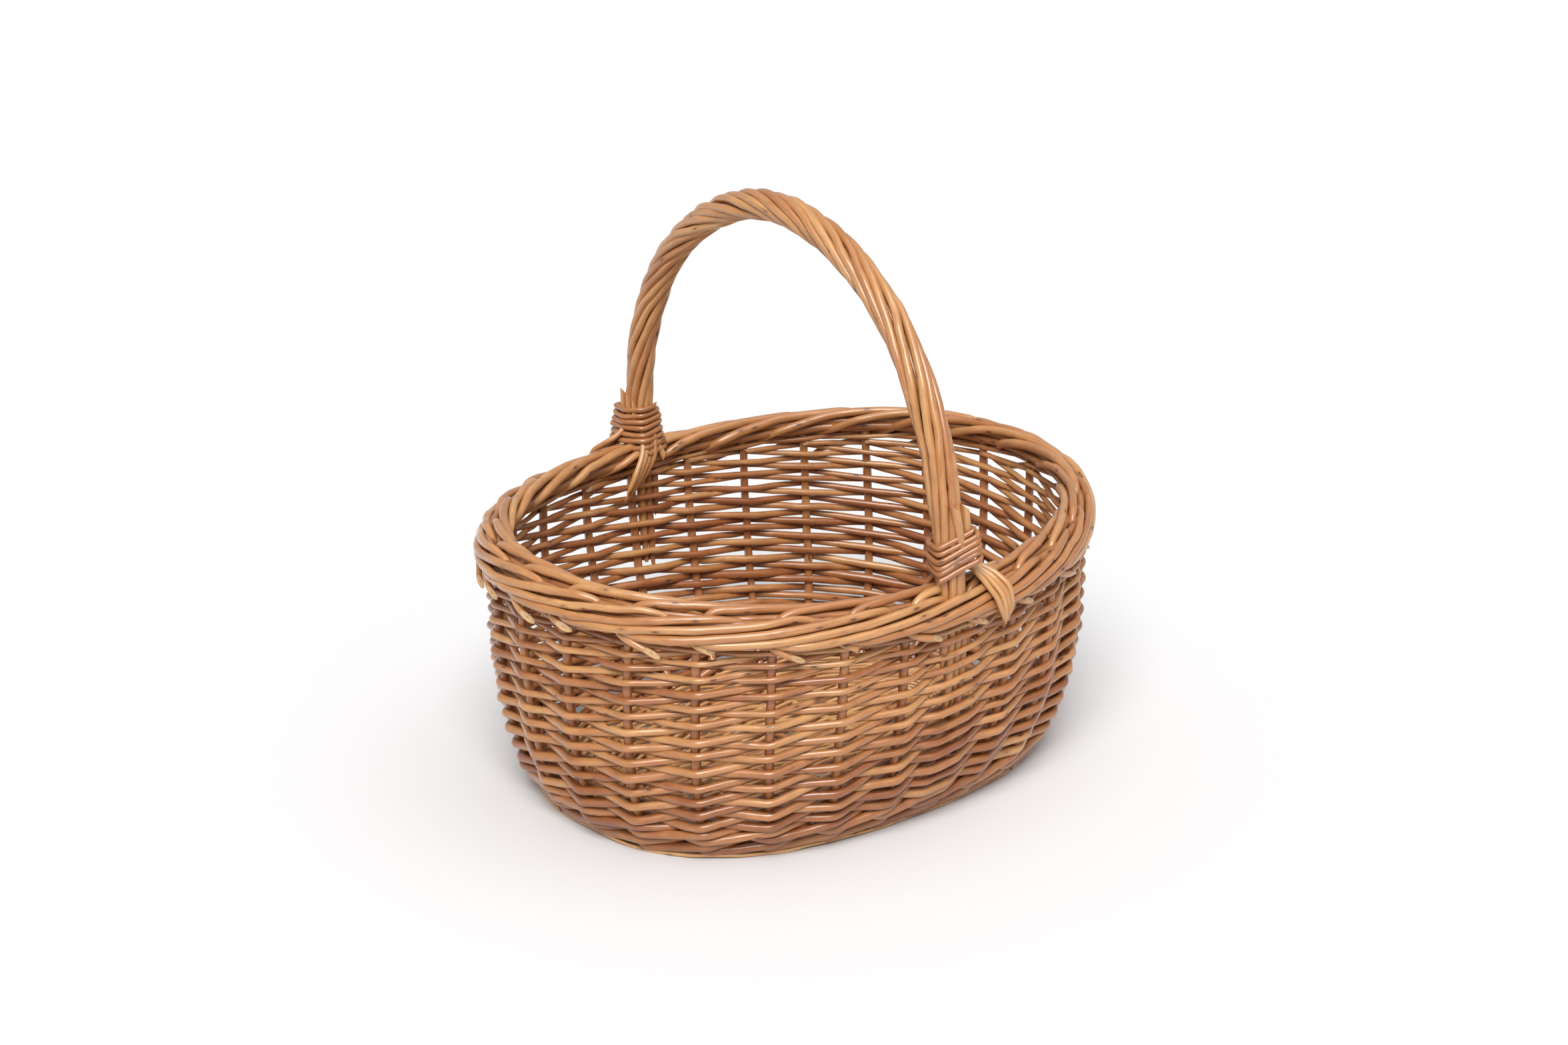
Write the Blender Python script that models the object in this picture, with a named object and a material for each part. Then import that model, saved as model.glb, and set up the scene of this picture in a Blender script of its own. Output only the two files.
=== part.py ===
"""Oval willow market basket with a fixed bow handle, for Blender 4.5.

Metres, +Z up, +X along the basket's length. The basket stands on z = 0 and is centred on the Z axis.
Places on the side wall are given as (stake, rise): the stake number round the wall, from 0 at the
middle of the front side to STAKES, and the share of the way up the wall from its foot to the border.
"""

import math

import bmesh
import bpy
import numpy as np
from mathutils import Vector

# Side wall, measured on the line that the stakes follow
RIM_HALF_LENGTH = 0.2115
RIM_HALF_WIDTH = 0.1705
FOOT_HALF_LENGTH = 0.1765
FOOT_HALF_WIDTH = 0.1275
RIM_ROUNDNESS = 2.05
FOOT_ROUNDNESS = 2.5
FOOT_HEIGHT = 0.0072
RIM_HEIGHT = 0.1790
RIM_SADDLE = 0.0050
RIM_TILT = 0.015
PROFILE_START = 0.06
PROFILE_BEND = 2.32
PROFILE_RISE = 0.444

# Rods
STAKES = 26
STAKE_RADIUS = 0.0028
WEAVE_THICKNESS = 0.0050
GAP = 0.0004
WEAVE_OFFSET = STAKE_RADIUS + WEAVE_THICKNESS / 2 + 2 * GAP
HANDLE_STAKES = (0, STAKES // 2)
HANDLE_STAKE_SHIFT = 0.14
HANDLE_FLAT = 0.28

# Wall, from the foot up, as shares of the rise
UPSETT_TOP = 0.155
WEAVE_TOP = 0.865
WALE_BOTTOM = 0.885
WALE_TOP = 0.933
WEAVE_BANDS = 10
STAKE_RISES = (0, 0.07, 0.15, 0.24, 0.34, 0.46, 0.60, 0.76, WALE_TOP)
NORMAL_STEP = 0.01

# Border. Its section is given as places out from the wall and up from the top of the stakes. The
# crest is towards the inside, and the outside hangs down over the top of the weave.
BORDER_TOP = 0.0100
BORDER_SECTION = (
    (0.0145, -0.0050),
    (0.0110, 0.0020),
    (0.0040, 0.0075),
    (-0.0040, BORDER_TOP),
    (-0.0110, 0.0080),
    (-0.0137, 0.0020),
    (-0.0110, -0.0040),
    (-0.0075, -0.0075),
    (0.0092, -0.0095),
    (0.0100, -0.0165),
    (0.0135, -0.0150),
)

# Handle
BOW_RADIUS = 0.0050
BOW_NECK_RADIUS = 0.0040
# From the pointed tip up to the border: rise and radius
BOW_LEG = ((0.50, 0.0013), (0.66, 0.0020), (0.82, 0.0026), (0.90, 0.0028), (0.985, BOW_NECK_RADIUS))
WRAP_RADIUS = 0.0100
WRAP_FLUTE = 0.0008
WRAP_TURNS = 1.4
WRAP_SIDES = 10
ARCH_TOP = 0.3912
ARCH_LEAN = 0.0117
ARCH_SPREAD = 1.09
ARCH_SHOULDER = 0.83
ARCH_STATIONS = 34
LAP_RADIUS = 0.0022
LAP_SECTIONS = 8
# Turns, height of the first turn above the border, and slope
FRONT_LAP = (4, 0.0097, 0.30)
BACK_LAP = (6, 0.0047, 0.0)
# From the pointed tip up to the border: rise and radius
LINER = ((0.46, 0.0010), (0.52, 0.0022), (0.72, 0.0026), (0.945, 0.0026))
TUCK_HALF_WIDTH = 0.0065
TUCK_HALF_THICKNESS = 0.0016
TUCK_PLACES = (0.34, 0.61)
TUCK_WIDTHS = (0.8, 1, 1, 0.9, 0.7, 0.15)
# From the crest down to the point: places out from the wall and up from the top of the stakes
OUTER_TUCK = (
    (-0.0025, 0.0133),
    (0.0055, 0.0108),
    (0.0137, 0.0045),
    (0.0182, -0.0044),
    (0.0176, -0.0150),
    (0.0165, -0.0260),
)
FRONT_INNER_TUCK = (
    (-0.0045, 0.0135),
    (-0.0134, 0.0108),
    (-0.0174, 0.0020),
    (-0.0150, -0.0050),
    (-0.0125, -0.0110),
    (-0.0120, -0.0190),
)
BACK_INNER_TUCK = (
    (-0.0118, 0.0124),
    (-0.0156, 0.0085),
    (-0.0174, 0.0020),
    (-0.0150, -0.0050),
    (-0.0125, -0.0110),
    (-0.0120, -0.0190),
)
# Name, stake that it starts at, way round the wall, and places
TUCKS = (
    ("front_outer_tuck", HANDLE_STAKES[0], 1, OUTER_TUCK),
    ("front_inner_tuck", HANDLE_STAKES[0], -1, FRONT_INNER_TUCK),
    ("back_outer_tuck", HANDLE_STAKES[1], 1, OUTER_TUCK),
    ("back_inner_tuck", HANDLE_STAKES[1], 1, BACK_INNER_TUCK),
)

# Base
BASE_THICKNESS = 0.0110
BASE_STICK_RADIUS = 0.0026
BASE_WEAVE_THICKNESS = 0.0026
SHORT_STICK_PLACES = (-0.090, -0.045, 0.0, 0.045, 0.090)
LONG_STICK_SPACING = 0.0057
LONG_STICK_FAN = 0.034
LONG_STICK_CLEAR = 0.008
STICK_SHORT = 0.006
HALVINGS = 40
SLOT_HALF_HEIGHT = BASE_STICK_RADIUS + GAP
SLOT_HALF_WIDTH = LONG_STICK_SPACING + BASE_STICK_RADIUS + GAP
SLOT_END_WALL = 0.0012
SWELL_HALF_HEIGHT = 0.0048
SWELL_HALF_WIDTH = 0.0036
BASE_RINGS = 3
RING_GAP = 0.02
BASE_INNER = (0.126, 0.0152)
BASE_OUTER = (0.1705, 0.1215)
BASE_FLAT = 0.0060

COLOURS = {
    "willow_stake": (0.42, 0.20, 0.09),
    "willow_weave": (0.52, 0.27, 0.12),
    "willow_border": (0.50, 0.25, 0.11),
    "willow_handle": (0.58, 0.33, 0.15),
    "willow_binding": (0.34, 0.13, 0.06),
    "willow_base": (0.50, 0.29, 0.14),
}


def clear_scene():
    for item in list(bpy.data.objects):
        bpy.data.objects.remove(item)


def willow(name, kind):
    material = bpy.data.materials.new(name)
    material.use_nodes = True
    shader = material.node_tree.nodes["Principled BSDF"]
    shader.inputs["Base Color"].default_value = (*COLOURS[kind], 1)
    shader.inputs["Roughness"].default_value = 0.45
    shader.inputs["Metallic"].default_value = 0
    return material


def add_object(name, data, kind):
    item = bpy.data.objects.new(name, data)
    data.materials.append(willow(name, kind))
    bpy.context.scene.collection.objects.link(item)
    return item


# ---- shapes -----------------------------------------------------------------------------------


def tube(name, points, radii, kind, resolution=1):
    """A rod along the points, with flat ends."""
    curve = bpy.data.curves.new(name, "CURVE")
    curve.dimensions = "3D"
    curve.bevel_depth = 1
    curve.bevel_resolution = resolution
    curve.use_fill_caps = True
    spline = curve.splines.new("POLY")
    spline.points.add(len(points) - 1)
    for place, point, radius in zip(spline.points, points, radii):
        place.co = (*point, 1)
        place.radius = radius
    return add_object(name, curve, kind)


def loft(name, sections, kind, closed=False):
    """Faces between one loop of points and the next, closed into a ring or capped at both ends."""
    shape = bmesh.new()
    rings = [[shape.verts.new(point) for point in section] for section in sections]
    pairs = list(zip(rings, rings[1:]))
    if closed:
        pairs.append((rings[-1], rings[0]))
    for first, second in pairs:
        for i in range(len(first)):
            j = (i + 1) % len(first)
            shape.faces.new((first[i], first[j], second[j], second[i]))
    if not closed:
        shape.faces.new(rings[0])
        shape.faces.new(rings[-1])
    bmesh.ops.recalc_face_normals(shape, faces=shape.faces)
    mesh = bpy.data.meshes.new(name)
    shape.to_mesh(mesh)
    shape.free()
    return add_object(name, mesh, kind)


def cut(item, cutter):
    """Takes the cutter's volume from the item, and keeps the cutter out of the model."""
    modifier = item.modifiers.new("cut", "BOOLEAN")
    modifier.operation = "DIFFERENCE"
    modifier.solver = "EXACT"
    modifier.object = cutter
    cutter.hide_render = True
    cutter.display_type = "WIRE"


def cylinder_mesh(name, centre, radius, height, sides):
    shape = bmesh.new()
    bmesh.ops.create_cone(shape, cap_ends=True, segments=sides, radius1=radius, radius2=radius, depth=height)
    bmesh.ops.translate(shape, verts=shape.verts, vec=centre)
    mesh = bpy.data.meshes.new(name)
    shape.to_mesh(mesh)
    shape.free()
    return mesh


def box_mesh(name, centre, size):
    shape = bmesh.new()
    bmesh.ops.create_cube(shape, size=1)
    bmesh.ops.scale(shape, verts=shape.verts, vec=size)
    bmesh.ops.translate(shape, verts=shape.verts, vec=centre)
    mesh = bpy.data.meshes.new(name)
    shape.to_mesh(mesh)
    shape.free()
    return mesh


# ---- the wall's surface -----------------------------------------------------------------------


def oval(angle, half_length, half_width, roundness):
    """A point on a superellipse, in the direction of the angle."""
    along = math.cos(angle)
    across = math.sin(angle)
    size = abs(along / half_length) ** roundness + abs(across / half_width) ** roundness
    reach = size ** (-1 / roundness)
    return reach * along, reach * across


def profile(height):
    """How far the wall has spread from its foot to its rim, at a share of its height."""
    def spread(t):
        return (1 - (1 - t) ** PROFILE_BEND) ** PROFILE_RISE

    start = spread(PROFILE_START)
    return (spread(PROFILE_START + (1 - PROFILE_START) * height) - start) / (1 - start)


def rise_table():
    """Shares of the height for even steps of length up the wall."""
    heights = np.linspace(0, 1, 401)
    reach = np.array([profile(height) for height in heights])
    spread = (RIM_HALF_LENGTH - FOOT_HALF_LENGTH + RIM_HALF_WIDTH - FOOT_HALF_WIDTH) / 2
    steps = np.hypot(np.diff(reach) * spread, np.diff(heights) * (RIM_HEIGHT - FOOT_HEIGHT))
    lengths = np.concatenate(([0], np.cumsum(steps)))
    return lengths / lengths[-1], heights


def stake_table():
    """Angles for even steps of length round the rim, from the middle of the front side."""
    angles = np.linspace(-math.pi / 2, 3 * math.pi / 2, 1441)
    points = np.array([oval(a, RIM_HALF_LENGTH, RIM_HALF_WIDTH, RIM_ROUNDNESS) for a in angles])
    lengths = np.concatenate(([0], np.cumsum(np.hypot(*np.diff(points, axis=0).T))))
    return lengths / lengths[-1] * STAKES, angles


RISES, HEIGHTS = rise_table()
PLACES, ANGLES = stake_table()


def rim_height(x, y):
    """The border's middle: the ends stand higher than the sides, and the back higher than the front."""
    angle = math.atan2(y / RIM_HALF_WIDTH, x / RIM_HALF_LENGTH)
    return RIM_HEIGHT + RIM_SADDLE * math.cos(2 * angle) + RIM_TILT * y


def on_wall(stake, rise):
    """The point on the stakes' surface."""
    angle = float(np.interp(stake % STAKES, PLACES, ANGLES))
    height = float(np.interp(rise, RISES, HEIGHTS))
    spread = profile(height)
    half_length = FOOT_HALF_LENGTH + (RIM_HALF_LENGTH - FOOT_HALF_LENGTH) * spread
    half_width = FOOT_HALF_WIDTH + (RIM_HALF_WIDTH - FOOT_HALF_WIDTH) * spread
    roundness = FOOT_ROUNDNESS + (RIM_ROUNDNESS - FOOT_ROUNDNESS) * height
    x, y = oval(angle, half_length, half_width, roundness)
    return Vector((x, y, FOOT_HEIGHT + (rim_height(x, y) - FOOT_HEIGHT) * height))


def wall_normal(stake, rise):
    """The direction straight out of the basket."""
    low = max(rise - NORMAL_STEP, 0)
    high = min(rise + NORMAL_STEP, 1)
    round_wall = on_wall(stake + NORMAL_STEP, rise) - on_wall(stake - NORMAL_STEP, rise)
    up_wall = on_wall(stake, high) - on_wall(stake, low)
    return round_wall.cross(up_wall).normalized()


def beside_wall(stake, rise, outward):
    return on_wall(stake, rise) + wall_normal(stake, rise) * outward


# ---- side wall --------------------------------------------------------------------------------


def stake_place(number):
    """The stakes beside the handle's ends stand a little to one side, to leave room for them."""
    return number + (HANDLE_STAKE_SHIFT if number in HANDLE_STAKES else 0)


def build_stakes():
    for number in range(STAKES):
        points = [on_wall(stake_place(number), rise) for rise in STAKE_RISES]
        radii = [STAKE_RADIUS] * len(points)
        tube(f"side_stake_{number + 1:02d}", points, radii, "willow_stake")


def band_stations():
    """Stake places where a woven band has a corner, with its share of the full offset there."""
    stations = []
    for number in range(STAKES):
        side = 1 if number % 2 else -1
        if number in HANDLE_STAKES:
            stations += [(number - HANDLE_FLAT, side), (number, side), (number + HANDLE_FLAT, side)]
        else:
            stations.append((number, side))
        stations.append((number + 0.5, 0))
    return stations


def woven_band(name, rises, phase):
    """A closed band that passes outside one stake and inside the next, with a corner at each rise."""
    sections = []
    for stake, side in band_stations():
        inner = side * phase * WEAVE_OFFSET - WEAVE_THICKNESS / 2
        outer = inner + WEAVE_THICKNESS
        corners = [(rise, inner) for rise in rises] + [(rise, outer) for rise in reversed(rises)]
        sections.append([beside_wall(stake, rise, outward) for rise, outward in corners])
    return loft(name, sections, "willow_weave", closed=True)


def build_weave():
    """Each band stands for about two rows of side weave."""
    slack = GAP / (RIM_HEIGHT - FOOT_HEIGHT)
    woven_band("upsett_waling", (0, UPSETT_TOP / 2, UPSETT_TOP - slack), 1)
    height = (WEAVE_TOP - UPSETT_TOP) / WEAVE_BANDS
    for number in range(WEAVE_BANDS):
        bottom = UPSETT_TOP + number * height
        phase = 1 if number % 2 else -1
        woven_band(f"side_weave_{number + 1:02d}", (bottom, bottom + height - slack), phase)
    woven_band("top_waling", (WALE_BOTTOM, WALE_TOP - slack), 1)


def border_frame(stake):
    """The middle of the top of the stakes, and the level direction out of the basket."""
    outward = wall_normal(stake, 1)
    outward.z = 0
    return on_wall(stake, 1), outward.normalized()


def border_point(stake, place):
    """A point beside the border's middle, at a place in its section."""
    centre, outward = border_frame(stake)
    return centre + outward * place[0] + Vector((0, 0, place[1]))


def build_border():
    """The rolled rim, with a hole at each side that the handle's bow goes down through."""
    sections = [[border_point(i / 2, place) for place in BORDER_SECTION] for i in range(2 * STAKES)]
    border = loft("rolled_border", sections, "willow_border", closed=True)
    for number, side in zip(HANDLE_STAKES, ("front", "back")):
        name = f"bow_hole_{side}"
        mesh = cylinder_mesh(name, on_wall(number, 1), BOW_NECK_RADIUS + 2 * GAP, 3 * BORDER_TOP, 12)
        cut(border, add_object(name, mesh, "willow_border"))


# ---- handle -----------------------------------------------------------------------------------


def arch_point(turn):
    """The handle's centre line, from the front foot at 0 to the back foot at pi."""
    front = on_wall(HANDLE_STAKES[0], 1)
    back = on_wall(HANDLE_STAKES[1], 1)
    lift = abs(math.sin(turn)) ** ARCH_SHOULDER
    swing = math.copysign(abs(math.cos(turn)) ** ARCH_SPREAD, math.cos(turn))
    foot_height = (front.z + back.z) / 2 + (front.z - back.z) / 2 * swing
    y = (front.y - back.y) / 2 * swing + ARCH_LEAN * lift
    return Vector((0, y, foot_height + (ARCH_TOP - foot_height) * lift))


def arch_stations():
    """Even steps of length along the handle above the border."""
    turns = np.linspace(0, math.pi, 721)
    points = np.array([arch_point(turn) for turn in turns])
    lengths = np.concatenate(([0], np.cumsum(np.linalg.norm(np.diff(points, axis=0), axis=1))))
    start = BORDER_TOP + 2 * GAP
    steps = np.linspace(start, lengths[-1] - start, ARCH_STATIONS)
    return [arch_point(float(np.interp(step, lengths, turns))) for step in steps]


def directions(points):
    ahead = points[1:] + points[-1:]
    behind = points[:1] + points[:-1]
    return [(b - a).normalized() for a, b in zip(behind, ahead)]


def build_bow():
    """The core rod, whose ends are cut to a long taper and pushed down beside a stake."""
    arch = arch_stations()
    front, back = [[on_wall(number, rise) for rise, _ in BOW_LEG] for number in HANDLE_STAKES]
    leg_radii = [radius for _, radius in BOW_LEG]
    points = front + arch + back[::-1]
    arch_radii = [BOW_NECK_RADIUS] + [BOW_RADIUS] * (len(arch) - 2) + [BOW_NECK_RADIUS]
    tube("handle_bow", points, leg_radii + arch_radii + leg_radii[::-1], "willow_handle", resolution=2)


def wrap_section(centre, ahead, turn):
    """The wrapping's fluted outside, and then the hole for the bow, at one place along the handle."""
    side = Vector((1, 0, 0))
    up = ahead.cross(side)
    outside = []
    hole = []
    for i in range(WRAP_SIDES):
        angle = turn + 2 * math.pi * i / WRAP_SIDES
        way = side * math.cos(angle) + up * math.sin(angle)
        outside.append(centre + way * (WRAP_RADIUS - (i % 2) * WRAP_FLUTE))
        hole.append(centre + way * (BOW_RADIUS + 2 * GAP))
    return outside, hole


def build_wrap():
    """The wrapping rods as one twisted sleeve, open at both ends, round the bow."""
    points = arch_stations()
    shape = bmesh.new()
    outer = []
    inner = []
    for i, (centre, ahead) in enumerate(zip(points, directions(points))):
        outside, hole = wrap_section(centre, ahead, 2 * math.pi * WRAP_TURNS * i / (len(points) - 1))
        outer.append([shape.verts.new(point) for point in outside])
        inner.append([shape.verts.new(point) for point in hole])
    for rings in (outer, inner):
        for first, second in zip(rings, rings[1:]):
            for i in range(WRAP_SIDES):
                j = (i + 1) % WRAP_SIDES
                shape.faces.new((first[i], first[j], second[j], second[i]))
    for end in (0, -1):
        for i in range(WRAP_SIDES):
            j = (i + 1) % WRAP_SIDES
            shape.faces.new((outer[end][i], outer[end][j], inner[end][j], inner[end][i]))
    bmesh.ops.recalc_face_normals(shape, faces=shape.faces)
    mesh = bpy.data.meshes.new("handle_wrapping")
    shape.to_mesh(mesh)
    shape.free()
    add_object("handle_wrapping", mesh, "willow_handle")


def handle_y(number, height):
    """Where the handle's centre line is at a height near one foot."""
    start, stop = (0, 0.5) if number == HANDLE_STAKES[0] else (math.pi, math.pi - 0.5)
    points = np.array([arch_point(turn) for turn in np.linspace(start, stop, 101)])
    return float(np.interp(height, points[:, 2], points[:, 1]))


def build_lap(name, number, turns, start, slope):
    """A thin rod wound round the foot of the handle."""
    radius = (WRAP_RADIUS + LAP_RADIUS + GAP) / math.cos(math.pi / LAP_SECTIONS)
    pitch = 2 * LAP_RADIUS + GAP
    foot = on_wall(number, 1).z + BORDER_TOP + start
    points = []
    for i in range(turns * LAP_SECTIONS + 1):
        angle = 2 * math.pi * i / LAP_SECTIONS
        x = radius * math.cos(angle)
        z = foot + pitch * i / LAP_SECTIONS + slope * x
        points.append(Vector((x, handle_y(number, z) + radius * math.sin(angle), z)))
    tube(name, points, [LAP_RADIUS] * len(points), "willow_binding")


def build_liner(name, number):
    """A short pointed rod pushed down beside the end of the bow."""
    points = [on_wall(number - HANDLE_STAKE_SHIFT, rise) for rise, _ in LINER]
    tube(name, points, [radius for _, radius in LINER], "willow_stake")


def tuck_line(number, way, places):
    """Points along the middle of a tuck, and the direction from the border to each of them."""
    stakes = number + way * np.linspace(*TUCK_PLACES, len(places))
    points = [border_point(stake, place) for stake, place in zip(stakes, places)]
    return points, [point - on_wall(stake, 1) for stake, point in zip(stakes, points)]


def build_tuck(name, number, way, places):
    """The flat bundle of wrapping ends that goes over the border on one side and down to a point."""
    points, outward = tuck_line(number, way, places)
    sections = []
    for point, out, ahead, share in zip(points, outward, directions(points), TUCK_WIDTHS):
        up = (out - ahead * out.dot(ahead)).normalized() * TUCK_HALF_THICKNESS
        side = ahead.cross(up).normalized() * TUCK_HALF_WIDTH * share
        sections.append([point - side - up, point + side - up, point + side + up, point - side + up])
    loft(name, sections, "willow_handle")


def build_handle():
    build_bow()
    build_wrap()
    build_lap("front_lap", HANDLE_STAKES[0], *FRONT_LAP)
    build_lap("back_lap", HANDLE_STAKES[1], *BACK_LAP)
    for number, side in zip(HANDLE_STAKES, ("front", "back")):
        build_liner(f"{side}_handle_liner", number)
    for tuck in TUCKS:
        build_tuck(*tuck)


# ---- base -------------------------------------------------------------------------------------


def base_oval(share):
    """The half length and half width of the base outline, from its middle opening to its edge."""
    return tuple(a + (b - a) * share for a, b in zip(BASE_INNER, BASE_OUTER))


def long_stick_half(number):
    """The right-hand half of a long stick, from where it starts to fan out, to its end."""
    start = (SHORT_STICK_PLACES[-1] + LONG_STICK_CLEAR, number * LONG_STICK_SPACING)
    end = (BASE_OUTER[0] - STICK_SHORT - abs(number) * LONG_STICK_CLEAR, number * LONG_STICK_FAN)
    return start, end


def build_long_sticks():
    middle = BASE_THICKNESS / 2
    for number in (-1, 0, 1):
        start, end = long_stick_half(number)
        points = [(-end[0], end[1], middle), (-start[0], start[1], middle)]
        points += [(*start, middle), (*end, middle)]
        radii = [BASE_STICK_RADIUS] * len(points)
        tube(f"base_long_stick_{number + 2}", points, radii, "willow_base")


def stick_reach(x):
    """How far a short stick at x runs from the middle, just inside the edge of the base."""
    half_length, half_width = BASE_OUTER
    edge = half_width * (1 - (abs(x) / half_length) ** FOOT_ROUNDNESS) ** (1 / FOOT_ROUNDNESS)
    return edge - STICK_SHORT


def build_short_sticks():
    """Each short stick is split at the middle, and the long sticks go through it."""
    middle = BASE_THICKNESS / 2
    slot = (4 * SWELL_HALF_WIDTH, 2 * SLOT_HALF_WIDTH, 2 * SLOT_HALF_HEIGHT)
    for number, x in enumerate(SHORT_STICK_PLACES):
        end = stick_reach(x)
        swell = SLOT_HALF_WIDTH + SLOT_END_WALL
        stations = (-end, -swell - SLOT_END_WALL, -swell, swell, swell + SLOT_END_WALL, end)
        sections = []
        for y in stations:
            swollen = abs(y) <= swell
            wide = SWELL_HALF_WIDTH if swollen else BASE_STICK_RADIUS
            high = SWELL_HALF_HEIGHT if swollen else BASE_STICK_RADIUS
            turns = [2 * math.pi * (i + 0.5) / 8 for i in range(8)]
            sections.append([Vector((x + wide * math.cos(t), y, middle + high * math.sin(t))) for t in turns])
        stick = loft(f"base_short_stick_{number + 1}", sections, "willow_base")
        name = f"slot_{number + 1}"
        cut(stick, add_object(name, box_mesh(name, (x, 0, middle), slot), "willow_base"))


def base_sticks():
    """Every half stick as a start and an end in plan, in order round the base."""
    right = [long_stick_half(number) for number in (-1, 0, 1)]
    left = [((-start[0], start[1]), (-end[0], end[1])) for start, end in reversed(right)]
    front = [((x, 0), (x, -stick_reach(x))) for x in SHORT_STICK_PLACES]
    back = [((x, 0), (x, stick_reach(x))) for x in reversed(SHORT_STICK_PLACES)]
    return front + right + back + left


def crossing(start, end, share, aside):
    """Where a line beside a half stick meets the base outline at the share of its spread."""
    half_length, half_width = base_oval(share)
    along = (Vector(end) - Vector(start)).normalized()
    origin = Vector(start) + Vector((along.y, -along.x)) * -aside
    low, high = 0.0, 2 * BASE_OUTER[0]
    for _ in range(HALVINGS):
        reach = (low + high) / 2
        x, y = origin + along * reach
        inside = abs(x / half_length) ** FOOT_ROUNDNESS + abs(y / half_width) ** FOOT_ROUNDNESS < 1
        low, high = (reach, high) if inside else (low, reach)
    return origin + along * low


def midway(first, second, share):
    """The point of the base outline halfway round from one point to the other."""
    half_length, half_width = base_oval(share)
    middle = (first + second) / 2
    return Vector(oval(math.atan2(middle.y, middle.x), half_length, half_width, FOOT_ROUNDNESS))


def ring_section(near, far, level):
    half = BASE_WEAVE_THICKNESS / 2
    corners = ((near, -half), (far, -half), (far, half), (near, half))
    return [Vector((point.x, point.y, level + lift)) for point, lift in corners]


def ring_places(ring, inner, outer):
    """The inner point, outer point and level of each section: flat at a stick, then half way to the next."""
    swing = BASE_THICKNESS / 2 - BASE_WEAVE_THICKNESS / 2
    places = []
    for number, (start, end) in enumerate(base_sticks()):
        level = BASE_THICKNESS / 2 + (swing if (number + ring) % 2 else -swing)
        for aside in (-BASE_FLAT, BASE_FLAT):
            places.append((crossing(start, end, inner, aside), crossing(start, end, outer, aside), level))
    return places


def build_base_weave():
    """Flat woven rings that pass over one stick and under the next, down to the ground at z = 0."""
    for ring in range(BASE_RINGS):
        inner = ring / BASE_RINGS + (RING_GAP if ring else 0)
        outer = (ring + 1) / BASE_RINGS
        places = ring_places(ring, inner, outer)
        sections = []
        for i, (near, far, level) in enumerate(places):
            sections.append(ring_section(near, far, level))
            next_near, next_far, _ = places[(i + 1) % len(places)]
            if i % 2:
                middles = midway(near, next_near, inner), midway(far, next_far, outer)
                sections.append(ring_section(*middles, BASE_THICKNESS / 2))
        loft(f"base_weave_ring_{ring + 1}", sections, "willow_base", closed=True)


def build_base():
    build_long_sticks()
    build_short_sticks()
    build_base_weave()


def main():
    clear_scene()
    build_base()
    build_stakes()
    build_weave()
    build_border()
    build_handle()


main()
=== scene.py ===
"""The looks of an oval willow market basket, rod by rod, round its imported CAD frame. Metres, +Z up.

Places on the side wall are (stake, arc, out): the stake number round the wall from the middle of the
front side, the length up the wall from its foot, and the distance outward from the stakes' middles.
Places by the border are (stake, out, up), from the middle of the border at the top of the stakes.
"""

import math

import bpy
import numpy as np
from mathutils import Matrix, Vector


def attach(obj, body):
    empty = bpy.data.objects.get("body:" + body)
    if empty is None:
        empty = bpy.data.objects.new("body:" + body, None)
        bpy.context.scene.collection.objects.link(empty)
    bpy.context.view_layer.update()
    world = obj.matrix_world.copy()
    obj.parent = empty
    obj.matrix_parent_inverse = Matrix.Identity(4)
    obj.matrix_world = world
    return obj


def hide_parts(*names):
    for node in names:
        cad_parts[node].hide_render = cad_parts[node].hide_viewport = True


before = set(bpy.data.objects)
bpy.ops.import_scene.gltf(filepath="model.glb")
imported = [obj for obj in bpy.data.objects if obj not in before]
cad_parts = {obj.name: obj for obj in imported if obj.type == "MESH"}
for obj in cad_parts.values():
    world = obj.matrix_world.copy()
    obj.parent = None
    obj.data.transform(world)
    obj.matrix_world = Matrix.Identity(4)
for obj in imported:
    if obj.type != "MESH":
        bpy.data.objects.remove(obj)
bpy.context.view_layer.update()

# ---- sizes, as the CAD has them ----

STAKES = 26
# Half length, half width and roundness of the wall's outline
RIM = (0.2115, 0.1705, 2.05)
FOOT = (0.1765, 0.1275, 2.5)
FOOT_HEIGHT = 0.0072
RIM_HEIGHT = 0.1790
RIM_SADDLE = 0.0050
RIM_TILT = 0.015
PROFILE_START = 0.06
PROFILE_BEND = 2.32
PROFILE_RISE = 0.444
STAKE_RADIUS = 0.0028
BORDER_TOP = 0.0100
# The stakes at the handle's two feet, and how far beside a foot its stake and its liner stand
FRONT = 0
BACK = STAKES // 2
SHIFT = 0.14
ARCH_TOP = 0.3912
ARCH_LEAN = 0.0117
ARCH_SPREAD = 1.09
ARCH_SHOULDER = 0.83
BOW_RADIUS = 0.0050
BASE_MIDDLE = 0.0055
BASE_EDGE = (0.1705, 0.1215)
BASE_ROUNDNESS = 2.5
SHORT_STICKS = (-0.090, -0.045, 0.0, 0.045, 0.090)

# ---- fineness of the meshes ----

STEP = 0.0022
SIDES = 12
BASE_SIDES = 8
LEAST_RINGS = 4
LINE_STEP = 0.0012
LEAST_LINE_STEPS = 12


# ---- the wall's surface ----

NORMAL_STAKE = 0.02
NORMAL_ARC = 0.002


def oval(angle, half_length, half_width, roundness):
    along, across = np.cos(angle), np.sin(angle)
    size = np.abs(along / half_length) ** roundness + np.abs(across / half_width) ** roundness
    reach = size ** (-1 / roundness)
    return reach * along, reach * across


def profile(height):
    """How far the wall has spread from its foot to its rim, at a share of its height."""
    def spread(t):
        return (1 - (1 - t) ** PROFILE_BEND) ** PROFILE_RISE

    start = spread(PROFILE_START)
    return (spread(PROFILE_START + (1 - PROFILE_START) * height) - start) / (1 - start)


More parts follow.
